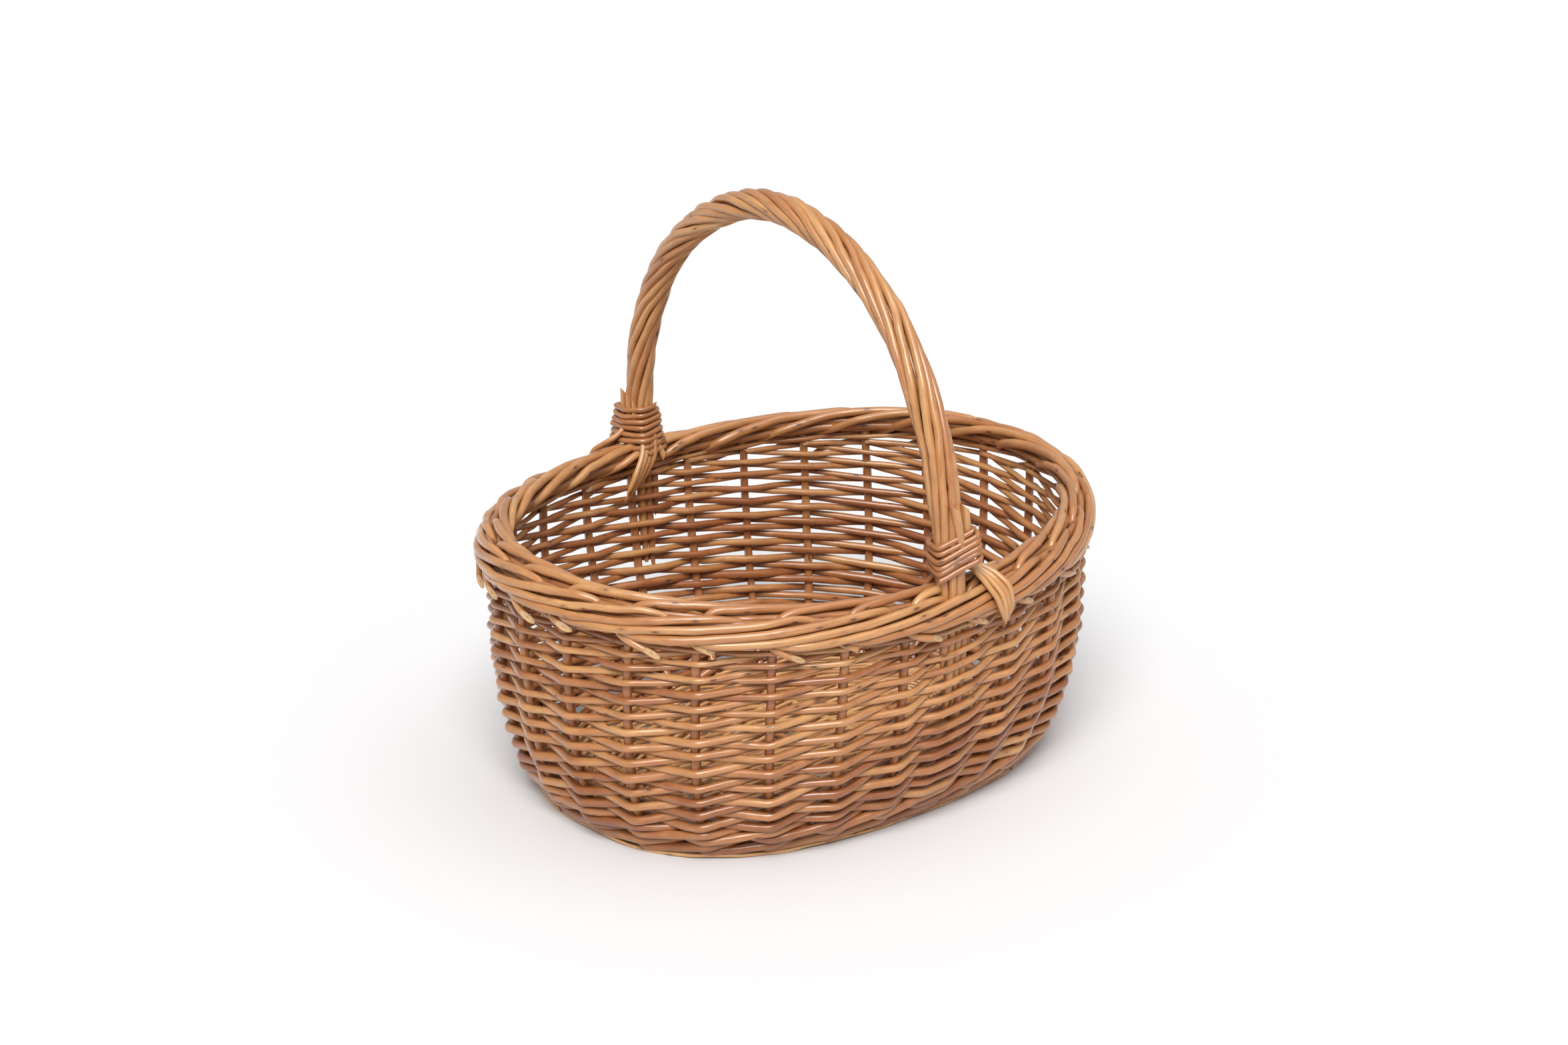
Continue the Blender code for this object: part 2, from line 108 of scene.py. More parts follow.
def rise_table():
    """Lengths up the wall, and the shares of its height that they reach."""
    heights = np.linspace(0, 1, 401)
    spread = (RIM[0] - FOOT[0] + RIM[1] - FOOT[1]) / 2
    steps = np.hypot(np.diff(profile(heights)) * spread, np.diff(heights) * (RIM_HEIGHT - FOOT_HEIGHT))
    return np.concatenate(([0], np.cumsum(steps))), heights


def stake_table():
    """Stake numbers round the rim, and their angles."""
    angles = np.linspace(-math.pi / 2, 3 * math.pi / 2, 1441)
    x, y = oval(angles, *RIM)
    lengths = np.concatenate(([0], np.cumsum(np.hypot(np.diff(x), np.diff(y)))))
    return lengths / lengths[-1] * STAKES, angles


ARCS, HEIGHTS = rise_table()
PLACES, ANGLES = stake_table()
WALL = ARCS[-1]


def surface(stake, arc):
    """Points on the middle line of the stakes. An arc below 0 or above the rim carries straight on."""
    stake, arc = np.broadcast_arrays(np.asarray(stake, float), np.asarray(arc, float))
    angle = np.interp(stake % STAKES, PLACES, ANGLES)
    height = np.interp(arc, ARCS, HEIGHTS)
    spread = profile(height)
    half_length = FOOT[0] + (RIM[0] - FOOT[0]) * spread
    half_width = FOOT[1] + (RIM[1] - FOOT[1]) * spread
    roundness = FOOT[2] + (RIM[2] - FOOT[2]) * height
    x, y = oval(angle, half_length, half_width, roundness)
    tilt = np.arctan2(y / RIM[1], x / RIM[0])
    rim = RIM_HEIGHT + RIM_SADDLE * np.cos(2 * tilt) + RIM_TILT * y
    z = FOOT_HEIGHT + (rim - FOOT_HEIGHT) * height
    z = z + np.maximum(arc - WALL, 0) + np.minimum(arc, 0)
    return np.stack([x, y, z], -1)


def unit(vectors):
    return vectors / np.maximum(np.linalg.norm(vectors, axis=-1, keepdims=True), 1e-12)


def normal(stake, arc):
    """The directions straight out of the basket."""
    stake, arc = np.asarray(stake, float), np.asarray(arc, float)
    low = np.clip(arc - NORMAL_ARC, 0, WALL - 2 * NORMAL_ARC)
    high = np.clip(arc + NORMAL_ARC, 2 * NORMAL_ARC, WALL)
    round_wall = surface(stake + NORMAL_STAKE, arc) - surface(stake - NORMAL_STAKE, arc)
    up_wall = surface(stake, high) - surface(stake, low)
    return unit(np.cross(round_wall, up_wall))


def wall(stake, arc, out):
    """Points beside the wall."""
    return surface(stake, arc) + normal(stake, arc) * np.asarray(out, float)[..., None]


def top_of(stake):
    """Points at the middle of the border."""
    return surface(stake, np.full(np.shape(stake), WALL))


def border(stake, out, up):
    """Points beside the middle of the border."""
    stake = np.asarray(stake, float)
    level = normal(stake, np.full(stake.shape, WALL))
    level[..., 2] = 0
    points = top_of(stake) + unit(level) * np.asarray(out, float)[..., None]
    points[..., 2] += np.asarray(up, float)
    return points


def dense_columns(path, count):
    """The columns of a list of places, filled in evenly to the count."""
    path = np.array(path)
    keys = np.linspace(0, 1, len(path))
    return [np.interp(np.linspace(0, 1, count), keys, column) for column in path.T]


# ---- rods ----

BLUR = 0.003
WAVER = 0.00022
STRONG_WAVER = 0.0003
WAVER_LENGTH = 0.016
WAVER_FADE = 0.01
SWELL = 0.025
SWELL_LENGTH = 0.012
FIRST_BUD = (0.01, 0.05)
BUD_SPACING = (0.035, 0.075)
BUD_SWELL = 0.06
BUD_LENGTH = 0.0028
OVALNESS = 0.05
TONE_SPREAD = 0.12
ANY_TURN = (0, 6.28)
PATTERN_SHIFT = (0, 50)
# A slanting cut shifts the rings over this many times its own length, and at least this far
CUT_REACH = 2.5
LEAST_CUT_REACH = 0.001
# A cut end has an inner ring at this share of its size. rod_end is 0 along a rod, and has these
# values at the edge, the inner ring and the middle of an end
HUB = 0.45
END_VALUES = (0.5, 0.725, 1.0)


def lengths_along(points):
    return np.concatenate(([0], np.cumsum(np.linalg.norm(np.diff(points, axis=0), axis=1))))


def smooth_line(points, blur):
    """Even steps along a line of points, with its corners rounded over the blur's length."""
    points = np.asarray(points, float)
    lengths = lengths_along(points)
    count = max(int(lengths[-1] / LINE_STEP), LEAST_LINE_STEPS)
    step = lengths[-1] / count
    at = np.linspace(0, lengths[-1], count + 1)
    line = np.stack([np.interp(at, lengths, points[:, k]) for k in range(3)], 1)
    half = min(int(3 * blur / step), count - 1)
    if half == 0:
        return line
    kernel = np.exp(-0.5 * (np.arange(-half, half + 1) * step / blur) ** 2)
    kernel /= kernel.sum()
    head = 2 * line[0] - line[half:0:-1]
    tail = 2 * line[-1] - line[-2:-half - 2:-1]
    padded = np.vstack([head, line, tail])
    return np.stack([np.convolve(padded[:, k], kernel, "valid") for k in range(3)], 1)


def wave(at, spacing, rng):
    """Smooth random values along a rod."""
    values = rng.normal(size=int(at[-1] / spacing) + 4)
    place = at / spacing
    low = np.floor(place).astype(int)
    share = place - low
    share = share * share * (3 - 2 * share)
    return values[low] * (1 - share) + values[low + 1] * share


def ways_across(line):
    """Two directions across the line that don't twist along it."""
    ahead = unit(np.gradient(line, axis=0))
    across = np.zeros_like(line)
    side = np.cross(ahead[0], (0.0, 0.0, 1.0))
    if np.linalg.norm(side) < 0.1:
        side = np.cross(ahead[0], (1.0, 0.0, 0.0))
    for i, direction in enumerate(ahead):
        side = side - direction * side.dot(direction)
        side = side / np.linalg.norm(side)
        across[i] = side
    return across, np.cross(ahead, across)


def with_hub(loop):
    """A loop of points, a smaller one inside it, and its middle."""
    middle = loop.mean(0)
    return np.vstack([loop, middle + (loop - middle) * HUB, middle[None]])


class Rods:
    """Collects rods as one mesh, with what the willow material reads at each vertex."""

    def __init__(self, name, seed):
        self.name = name
        self.rng = np.random.default_rng(seed)
        self.points = []
        self.faces = []
        self.places = []
        self.tones = []
        self.ends = []
        self.count = 0

    def keep(self, points, faces, places, tones, ends):
        self.points.append(points)
        self.faces.append(faces + self.count)
        self.places.append(places)
        self.tones.append(tones)
        self.ends.append(ends)
        self.count += len(points)

    def spine(self, points, blur, waver):
        """A rod's middle line, the length at each of its points, and two directions across it."""
        line = smooth_line(points, blur)
        at = lengths_along(line)
        across, upward = ways_across(line)
        fade = np.clip(np.minimum(at, at[-1] - at) / WAVER_FADE, 0, 1)[:, None]
        line = line + across * (wave(at, WAVER_LENGTH, self.rng)[:, None] * waver * fade)
        line = line + upward * (wave(at, WAVER_LENGTH, self.rng)[:, None] * waver * fade)
        return line, at, *ways_across(line)

    def thickness(self, at, radius, buds):
        """The radius at each length, with slow changes and a swelling at every bud."""
        if np.isscalar(radius):
            radius = ((0, radius), (1, radius))
        size = np.interp(at / at[-1], *zip(*radius))
        size = size * (1 + SWELL * wave(at, SWELL_LENGTH, self.rng))
        if buds:
            bud = self.rng.uniform(*FIRST_BUD)
            while bud < at[-1]:
                size = size * (1 + BUD_SWELL * np.exp(-0.5 * ((at - bud) / BUD_LENGTH) ** 2))
                bud += self.rng.uniform(*BUD_SPACING)
        return size

    def ring_places(self, ring_at, angles, cuts, faces_to, across, upward):
        """How far along the rod each point of each ring lies, with the ends cut at a slant."""
        length = ring_at[-1]
        places = np.repeat(ring_at[:, None], len(angles), 1)
        for end, (cut, way) in enumerate(zip(cuts, faces_to)):
            if cut <= 0:
                continue
            if way is None:
                turned = self.rng.uniform(*ANY_TURN)
            else:
                turned = math.atan2(np.dot(upward[-end], way), np.dot(across[-end], way))
            lean = (1 + np.cos(angles - turned)) / 2
            reach = max(CUT_REACH * cut, LEAST_CUT_REACH)
            from_end = length - ring_at if end else ring_at
            near = np.clip(1 - from_end / reach, 0, 1)
            places += (-1 if end else 1) * cut * near[:, None] * lean[None, :]
        return np.clip(places, 0, length)

    def cap(self, edge, places, tone, start):
        """Closes one end of a rod with a ring of four-sided faces and a hub of triangles."""
        sides = len(edge)
        first = np.arange(sides)
        second = (first + 1) % sides
        if start:
            first, second = second, first
        middle = np.full(sides, 2 * sides)
        outer = np.stack([first, second, sides + second, sides + first], -1)
        hub = np.stack([sides + first, sides + second, middle, middle], -1)
        ends = np.repeat(END_VALUES, (sides, sides, 1))
        self.keep(with_hub(edge), np.vstack([outer, hub]), with_hub(places), np.full(len(ends), tone), ends)

    def add(self, points, radius, blur=BLUR, cuts=(0.0, 0.0), faces_to=(None, None), waver=WAVER,
            tone=None, sides=SIDES, buds=True):
        """One rod along the points. radius is a number, or (share of the length, radius) pairs. cuts are
        the lengths of the slanting cuts at its ends, and faces_to the ways that the cut faces look.
        tone is a number, or one for each end."""
        rng = self.rng
        line, at, across, upward = self.spine(points, blur, waver)
        size = self.thickness(at, radius, buds)
        rings = max(int(math.ceil(at[-1] / STEP)), LEAST_RINGS) + 1
        angles = np.linspace(0, 2 * math.pi, sides, endpoint=False) + rng.uniform(*ANY_TURN)
        ring_at = np.linspace(0, at[-1], rings)
        places = self.ring_places(ring_at, angles, cuts, faces_to, across, upward)

        def at_places(values):
            return np.stack([np.interp(places, at, values[:, k]) for k in range(3)], -1)

        size = np.interp(places, at, size)
        x = size * np.cos(angles) * (1 + rng.uniform(-OVALNESS, OVALNESS))
        y = size * np.sin(angles) * (1 + rng.uniform(-OVALNESS, OVALNESS))
        loops = at_places(line) + unit(at_places(across)) * x[..., None]
        loops = loops + unit(at_places(upward)) * y[..., None]
        pattern = np.stack([x, y, places + rng.uniform(*PATTERN_SHIFT)], -1)
        low = np.arange(rings - 1)[:, None] * sides
        first = np.arange(sides)[None, :]
        second = (first + 1) % sides
        quads = np.stack([low + first, low + second, low + sides + second, low + sides + first], -1)
        tone = rng.uniform() if tone is None else np.asarray(tone) + rng.normal() * TONE_SPREAD
        tones = np.clip(np.linspace(*np.broadcast_to(tone, 2), rings), 0, 1)
        self.keep(loops.reshape(-1, 3), quads.reshape(-1, 4), pattern.reshape(-1, 3),
                  np.repeat(tones, sides), np.zeros(rings * sides))
        self.cap(loops[0], pattern[0], tones[0], True)
        self.cap(loops[-1], pattern[-1], tones[-1], False)

    def finish(self, material, slot, *nodes):
        """Makes the mesh. A face whose last two corners are the same is a triangle."""
        points = np.vstack(self.points)
        faces = np.vstack(self.faces)
        sizes = np.where(faces[:, 2] == faces[:, 3], 3, 4)
        loops = faces[np.arange(4)[None, :] < sizes[:, None]]
        mesh = bpy.data.meshes.new(self.name)
        mesh.vertices.add(len(points))
        mesh.vertices.foreach_set("co", points.astype(np.float32).ravel())
        mesh.loops.add(len(loops))
        mesh.loops.foreach_set("vertex_index", loops.astype(np.int32))
        mesh.polygons.add(len(faces))
        starts = np.concatenate(([0], np.cumsum(sizes)[:-1]))
        mesh.polygons.foreach_set("loop_start", starts.astype(np.int32))
        mesh.polygons.foreach_set("loop_total", sizes.astype(np.int32))
        mesh.polygons.foreach_set("use_smooth", np.ones(len(faces), bool))
        mesh.update(calc_edges=True)
        mesh.validate()
        place = mesh.attributes.new("rod_place", "FLOAT_VECTOR", "POINT")
        place.data.foreach_set("vector", np.vstack(self.places).astype(np.float32).ravel())
        for name, values in (("rod_tone", self.tones), ("rod_end", self.ends)):
            attribute = mesh.attributes.new(name, "FLOAT", "POINT")
            attribute.data.foreach_set("value", np.concatenate(values).astype(np.float32))
        piece = bpy.data.objects.new(self.name, mesh)
        bpy.context.scene.collection.objects.link(piece)
        mesh.materials.append(material)
        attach(piece, "root")
        if nodes:
            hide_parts(*nodes)


# ---- willow ----

# Scale of each pattern across a rod and along it, per metre
PATCH_SCALE = (90, 90, 22)
BLOTCH_SCALE = (260, 260, 110)
GRAIN_SCALE = (1300, 1300, 45)
BUD_SCALE = (215, 215, 70)
SPECK_SCALE = (520, 520, 260)
# How much a rod's own tone, its patches and its blotches count in its colour
TONE_SHARE = 0.55
PATCH_SHARE = 0.30
BLOTCH_SHARE = 0.15
DARK_STREAK = (0.16, 0.055, 0.022)
PALE_STREAK = (0.80, 0.55, 0.30)
HALO = (0.20, 0.06, 0.02)
BUD = (0.045, 0.018, 0.010)
SPECK = (0.07, 0.03, 0.018)
CUT_DARK = (0.46, 0.28, 0.13)
CUT_PALE = (0.62, 0.42, 0.22)
CUT_RIM = (0.42, 0.20, 0.08)
PITH = (0.36, 0.19, 0.09)
CUT_ROUGHNESS = 0.75
GLOSS = 0.31
BASE_GLOSS = 0.42
BUD_SHARE = 0.45
HANDLE_BUD_SHARE = 0.25


class Nodes:
    """Short calls that add shader nodes to a material and give their outputs."""

    def __init__(self, tree):
        self.nodes = tree.nodes
        self.links = tree.links

    def new(self, kind, **values):
        """A node with its unlinked inputs set."""
        node = self.nodes.new(kind)
        for label, value in values.items():
            node.inputs[label].default_value = value
        return node

    def attribute(self, label):
        node = self.nodes.new("ShaderNodeAttribute")
        node.attribute_name = label
        return node

    def scaled(self, vector, size):
        node = self.nodes.new("ShaderNodeVectorMath")
        node.operation = "MULTIPLY"
        self.links.new(vector, node.inputs[0])
        node.inputs[1].default_value = size
        return node.outputs[0]

    def noise(self, vector, detail, rough=0.5):
        node = self.new("ShaderNodeTexNoise", Scale=1, Detail=detail, Roughness=rough)
        self.links.new(vector, node.inputs["Vector"])
        return node.outputs["Fac"]

    def cells(self, vector):
        node = self.new("ShaderNodeTexVoronoi", Scale=1)
        self.links.new(vector, node.inputs["Vector"])
        return node.outputs["Distance"], node.outputs["Color"]

    def red(self, colour):
        node = self.nodes.new("ShaderNodeSeparateColor")
        self.links.new(colour, node.inputs["Color"])
        return node.outputs["Red"]

    def remap(self, value, low, high, to_low=0.0, to_high=1.0):
        node = self.nodes.new("ShaderNodeMapRange")
        node.inputs["From Min"].default_value = low
        node.inputs["From Max"].default_value = high
        node.inputs["To Min"].default_value = to_low
        node.inputs["To Max"].default_value = to_high
        self.links.new(value, node.inputs["Value"])
        return node.outputs["Result"]

    def maths(self, operation, first, second):
        node = self.nodes.new("ShaderNodeMath")
        node.operation = operation
        for socket, value in zip(node.inputs, (first, second)):
            if isinstance(value, (int, float)):
                socket.default_value = value
            else:
                self.links.new(value, socket)
        return node.outputs[0]

    def mixed(self, share, first, second):
        node = self.nodes.new("ShaderNodeMix")
        node.data_type = "RGBA"
        self.links.new(share, node.inputs[0])
        for socket, value in ((node.inputs[6], first), (node.inputs[7], second)):
            if isinstance(value, tuple):
                socket.default_value = (*value, 1)
            else:
                self.links.new(value, socket)
        return node.outputs[2]

    def ramp(self, value, colours):
        node = self.nodes.new("ShaderNodeValToRGB")
        stops = node.color_ramp.elements
        while len(stops) < len(colours):
            stops.new(0.5)
        for stop, (position, colour) in zip(stops, colours):
            stop.position = position
            stop.color = (*colour, 1)
        self.links.new(value, node.inputs["Fac"])
        return node.outputs["Color"]


def willow(name, colours, gloss=GLOSS, bud_share=BUD_SHARE):
    """Steamed willow: long grain, patches of tone along the rod, dark buds and scars, pale cut ends."""
    material = bpy.data.materials.new(name)
    material.use_nodes = True
    make = Nodes(material.node_tree)
    place = make.attribute("rod_place").outputs["Vector"]
    tone = make.attribute("rod_tone").outputs["Fac"]
    end = make.attribute("rod_end").outputs["Fac"]
    patches = make.noise(make.scaled(place, PATCH_SCALE), 3.0)
    blotches = make.noise(make.scaled(place, BLOTCH_SCALE), 2.0)
    grain = make.noise(make.scaled(place, GRAIN_SCALE), 3.0, 0.6)

    # Bark: the rod's tone, then its grain
    shade = make.maths("ADD", make.maths("MULTIPLY", tone, TONE_SHARE),
                       make.maths("MULTIPLY", make.remap(patches, 0.3, 0.7), PATCH_SHARE))
    shade = make.maths("ADD", shade, make.maths("MULTIPLY", make.remap(blotches, 0.3, 0.7), BLOTCH_SHARE))
    bark = make.ramp(shade, colours)
    bark = make.mixed(make.remap(grain, 0.35, 0.62, 0.0, 0.30), bark, DARK_STREAK)
    bark = make.mixed(make.remap(grain, 0.62, 0.80, 0.0, 0.22), bark, PALE_STREAK)

    # Buds and leaf scars: some of the cells of a stretched pattern, with a dark middle
    distance, cell = make.cells(make.scaled(place, BUD_SCALE))
    chosen = make.maths("LESS_THAN", make.red(cell), bud_share)
    ragged = make.maths("ADD", distance, make.maths("MULTIPLY", grain, 0.10))
    bud = make.maths("MULTIPLY", make.remap(ragged, 0.26, 0.16), chosen)
    halo = make.maths("MULTIPLY", make.remap(ragged, 0.48, 0.20, 0.0, 0.35), chosen)
    bark = make.mixed(halo, bark, HALO)
    bark = make.mixed(make.maths("MULTIPLY", bud, 0.80), bark, BUD)
    distance, cell = make.cells(make.scaled(place, SPECK_SCALE))
    bark = make.mixed(make.remap(distance, 0.17, 0.08, 0.0, 0.45), bark, SPECK)

    # Cut ends: pale wood with a small brown pith
    is_end = make.maths("GREATER_THAN", end, END_VALUES[0] / 2)
    wood = make.mixed(make.remap(grain, 0.35, 0.7), CUT_DARK, CUT_PALE)
    wood = make.mixed(make.remap(end, 0.62, 0.50, 0.0, 0.5), wood, CUT_RIM)
    wood = make.mixed(make.remap(end, 0.80, 0.95), wood, PITH)

    roughness = make.remap(blotches, 0.3, 0.7, gloss - 0.05, gloss + 0.12)
    roughness = make.maths("ADD", roughness, make.maths("MULTIPLY", bud, 0.25))
    roughness = make.maths("MAXIMUM", roughness, make.maths("MULTIPLY", is_end, CUT_ROUGHNESS))
    height = make.maths("ADD", make.maths("MULTIPLY", grain, 0.30), make.maths("MULTIPLY", halo, 1.6))
    height = make.maths("SUBTRACT", height, make.maths("MULTIPLY", bud, 0.9))
    height = make.maths("ADD", height, make.maths("MULTIPLY", blotches, 0.8))
    bump = make.new("ShaderNodeBump", Strength=0.55, Distance=0.0004)
    make.links.new(height, bump.inputs["Height"])

    shader = make.nodes["Principled BSDF"]
    make.links.new(make.mixed(is_end, bark, wood), shader.inputs["Base Color"])
    make.links.new(roughness, shader.inputs["Roughness"])
    make.links.new(bump.outputs["Normal"], shader.inputs["Normal"])
    shader.inputs["Specular IOR Level"].default_value = 0.55
    shader.inputs["Coat Weight"].default_value = 0.5
    shader.inputs["Coat Roughness"].default_value = 0.18
    return material


RED = (0.205, 0.057, 0.018)
BROWN = (0.315, 0.106, 0.032)
TAN = (0.475, 0.205, 0.071)
GOLD = (0.630, 0.338, 0.130)
PALE = (0.730, 0.445, 0.200)

WEAVE = willow("willow_weave", ((0.0, RED), (0.3, BROWN), (0.6, TAN), (0.95, GOLD)))
STAKE = willow("willow_stake", ((0.0, RED), (0.35, BROWN), (0.8, TAN), (1.0, GOLD)))
RIMS = willow("willow_border", ((0.0, BROWN), (0.5, TAN), (0.95, GOLD)))
HANDLE = willow("willow_handle", ((0.0, BROWN), (0.4, TAN), (0.85, GOLD), (1.0, PALE)),
                bud_share=HANDLE_BUD_SHARE)
BINDING = willow("willow_binding", ((0.0, BROWN), (0.8, TAN), (1.0, GOLD)))
BASE = willow("willow_base", ((0.0, BROWN), (0.4, TAN), (0.7, GOLD), (1.0, PALE)), gloss=BASE_GLOSS)


# ---- stakes ----

STAKE_START = 0.02
STAKE_LEAN = 0.15
STAKE_LEAN_SPREAD = 0.03
STAKE_BEND_SPREAD = 0.0003
STAKE_BOTTOM = -0.001
STAKE_TOP_GAP = 0.006
STAKE_POINTS = 24
STAKE_THICKNESS = ((0, 0.0032), (1, 0.0030))
STAKE_TONES = (0.2, 0.8)
STAKE_BLUR = 0.004


def stake_place(number, arc=WALL):
    """Where a stake stands: those of the handle beside it, and the others leaning a little."""
    if number % STAKES in (FRONT, BACK):
        return number + SHIFT
    return number + STAKE_START + STAKE_LEAN * np.clip(arc / WALL, 0, 1)


def build_stakes():
    for number in range(STAKES):
        rods = Rods(f"stake_{number + 1:02d}", 100 + number)
        arcs = np.linspace(STAKE_BOTTOM, WALL - STAKE_TOP_GAP, STAKE_POINTS)
        lean = rods.rng.normal() * STAKE_LEAN_SPREAD
        places = stake_place(number, arcs) + lean * arcs / WALL
        bend = rods.rng.normal() * STAKE_BEND_SPREAD
        tone = 1.0 if number in (FRONT, BACK) else rods.rng.uniform(*STAKE_TONES)
        rods.add(wall(places, arcs, np.full(STAKE_POINTS, bend)), STAKE_THICKNESS, STAKE_BLUR, tone=tone)
        rods.finish(STAKE, "willow_stake", f"side_stake_{number + 1:02d}")


# ---- side weave ----

# Length up the wall at which the rods pass outside a stake, from the lowest row to the highest
FRONT_ROWS = (0.0396, 0.0510, 0.0628, 0.0745, 0.0858, 0.0972, 0.1090, 0.1202, 0.1312, 0.1415, 0.1512, 0.1602)
ROWS = 2 * len(FRONT_ROWS)
LOW_ROW_RISE = 0.0055
HIGH_ROW_RISE = 0.0044
# Row and radius
WEAVER_RADIUS = ((0, 0.0031), (8, 0.00275), (16, 0.0024), (22, 0.0020), (24, 0.0019))
WEAVER_BANDS = 10
# Stakes that a weaver starts before its first row, and that it goes on after its last
WEAVER_START = 2.12
WEAVER_END = 0.35
WEAVER_LEVEL_SPREAD = 0.0004
WEAVER_RADIUS_SPREAD = 0.05
WEAVER_BUTT_TONES = (0.0, 0.8)
WEAVER_TONE_RISE = 0.25
WEAVER_BLUR = 0.0016
WEAVER_SWAY = 0.0005
WALE_BLUR = 0.0018
WALE_SWAY = 0.0003
WALE_START = 0.35
WALE_END = 0.45
WALE_RADIUS_CHANGE = 0.06
WOVEN_CUTS = (0.006, 0.004)
# A rod lies against a stake for this far to each side of it, and for longer at the handle's feet
STAKE_HALF = 0.035
HANDLE_HALF = 0.27
OUT_SPREAD = 0.0002
# Share of the two radii that a rod and a stake keep between their middles
PRESSED = 0.88


def row_arc(row):
    """Row 1 is the lowest that passes outside a stake, and the even rows pass inside."""
    level = np.interp(row, np.arange(1, ROWS, 2), FRONT_ROWS)
    below = min(row - 1, 0) * LOW_ROW_RISE
    above = max(row - ROWS + 1, 0) * HIGH_ROW_RISE
    return float(level + below + above)


def weaver_radius(row):
    return float(np.interp(row, *zip(*WEAVER_RADIUS)))


def stations(first, last, side_of, radius_of, arc_of, rng, sway):
    """The points of a rod that passes each stake on its own side, from one place to the next."""
    points = []
    for number in range(int(math.ceil(first - 0.4)), int(math.floor(last + 0.4)) + 1):
        handle = number % STAKES in (FRONT, BACK)
        centre = number if handle else stake_place(number, arc_of(number))
        reach = (STAKE_RADIUS + radius_of(number)) * PRESSED
        out = side_of(number) * reach + rng.normal() * OUT_SPREAD
        arc = arc_of(number) + rng.normal() * sway
        half = HANDLE_HALF if handle else STAKE_HALF
        slope = arc_of(number + 0.5) - arc_of(number - 0.5)
        for offset in (-half, half):
            if first <= number + offset <= last:
                points.append((centre + offset, arc + slope * offset, out))
    return wall(*np.array(sorted(points)).T)


def build_weaver(start):
    """One rod that starts low near its own stake and climbs a row with every stake."""
    rods = Rods(f"weaver_{start + 1:02d}", 200 + start)
    rng = rods.rng
    own = rng.normal() * WEAVER_LEVEL_SPREAD
    thick = 1 + rng.normal() * WEAVER_RADIUS_SPREAD

    def side_of(number):
        return 1 if (number - start) % 2 else -1

    def arc_of(number):
        return row_arc(number - start) + own

    def radius_of(number):
        return weaver_radius(number - start) * thick

    first, last = start - WEAVER_START, start + ROWS + WEAVER_END
    points = stations(first, last, side_of, radius_of, arc_of, rng, WEAVER_SWAY)
    radius = [(row / ROWS, weaver_radius(row) * thick) for row in range(0, ROWS + 1, 3)]
    butt = rng.uniform(*WEAVER_BUTT_TONES)
    rods.add(points, radius, WEAVER_BLUR, WOVEN_CUTS, tone=(butt, butt + WEAVER_TONE_RISE))
    rods.finish(WEAVE, "willow_weave", f"side_weave_{start % WEAVER_BANDS + 1:02d}")


def build_side_weave():
    for start in range(STAKES):
        build_weaver(start)


def build_waling(label, node, rounds, half, radius, seed, tones):
    """Three rods for each round, every one passing outside two stakes and inside the next. rounds gives
    each round's first stake and length up the wall, and half how far a rod rises and falls."""
    lift = (-half, half, 0.0)
    for k in range(3 * len(rounds)):
        rods = Rods(f"{label}_{k + 1}", seed + k)
        begin, level = rounds[k // 3]
        begin += k % 3

        def side_of(number):
            return -1 if (number - begin) % 3 == 2 else 1

        def arc_of(number):
            low = math.floor(number)
            share = number - low
            return level + lift[(low - begin) % 3] * (1 - share) + lift[(low + 1 - begin) % 3] * share

        points = stations(begin - WALE_START, begin + STAKES + WALE_END, side_of,
                          lambda number: radius, arc_of, rods.rng, WALE_SWAY)
        taper = ((0, radius * (1 + WALE_RADIUS_CHANGE)), (1, radius * (1 - WALE_RADIUS_CHANGE)))
        rods.add(points, taper, WALE_BLUR, WOVEN_CUTS, tone=rods.rng.uniform(*tones))
        rods.finish(WEAVE, "willow_weave", node)


# ---- border ----

# One rod of the border, in stakes from its own stake: place along, out and up from the border's
# middle. It bends over the top, lies along the inside, comes out underneath, lies along the outside,
# goes over to the inside again, and ends in a tail on the outside.
BORDER_PATH = (
    (0.00, 0.0005, -0.0140), (0.00, 0.0005, -0.0030), (0.06, 0.0005, 0.0035), (0.28, -0.0008, 0.0074),
    (0.95, -0.0046, 0.0082), (1.65, -0.0086, 0.0066), (2.15, -0.0106, 0.0030), (2.45, -0.0088, -0.0025),
    (2.72, -0.0015, -0.0078), (2.95, 0.0072, -0.0120), (3.20, 0.0106, -0.0126), (3.90, 0.0118, -0.0092),
    (4.90, 0.0112, -0.0038), (5.70, 0.0088, 0.0016), (6.20, 0.0058, 0.0046), (6.55, 0.0020, 0.0020),
    (6.75, 0.0020, -0.0080), (6.92, 0.0085, -0.0148), (7.15, 0.0110, -0.0190), (7.50, 0.0112, -0.0232),
)
BORDER_RADIUS = ((0, 0.0029), (0.3, 0.0030), (0.8, 0.0027), (0.93, 0.0024), (1, 0.0021))
BORDER_POINTS = 90
BORDER_BLUR = 0.0035
BORDER_SPREAD = 0.0003
BORDER_TONES = (0.15, 0.95)
# The rods' places spread past this one, by this much
SPREAD_FROM = 0.2
ALONG_SPREAD = 0.05
BORDER_RADIUS_SPREAD = 0.04
# How much longer or shorter a tail is, in stakes, how far it drops for each stake, and its cut
TAILS = (-0.45, -0.30, -0.10, 0.05, 0.30)
TAIL_DROP = 0.016
TAIL_CUT = 0.012
TAIL_AT = 7.4
TAIL_LOOKS_UP = 0.7
# Out and up from the border's middle, and radius
FILLINGS = ((-0.0050, -0.0035, 0.0030), (0.0035, -0.0055, 0.0032), (0.0030, 0.0, 0.0030),
            (-0.0035, 0.0010, 0.0028))
FILLING_POINTS = 40 * STAKES + 1
FILLING_WAVER = 0.0006
FILLING_BLUR = 0.002
FILLING_TONE = 0.1


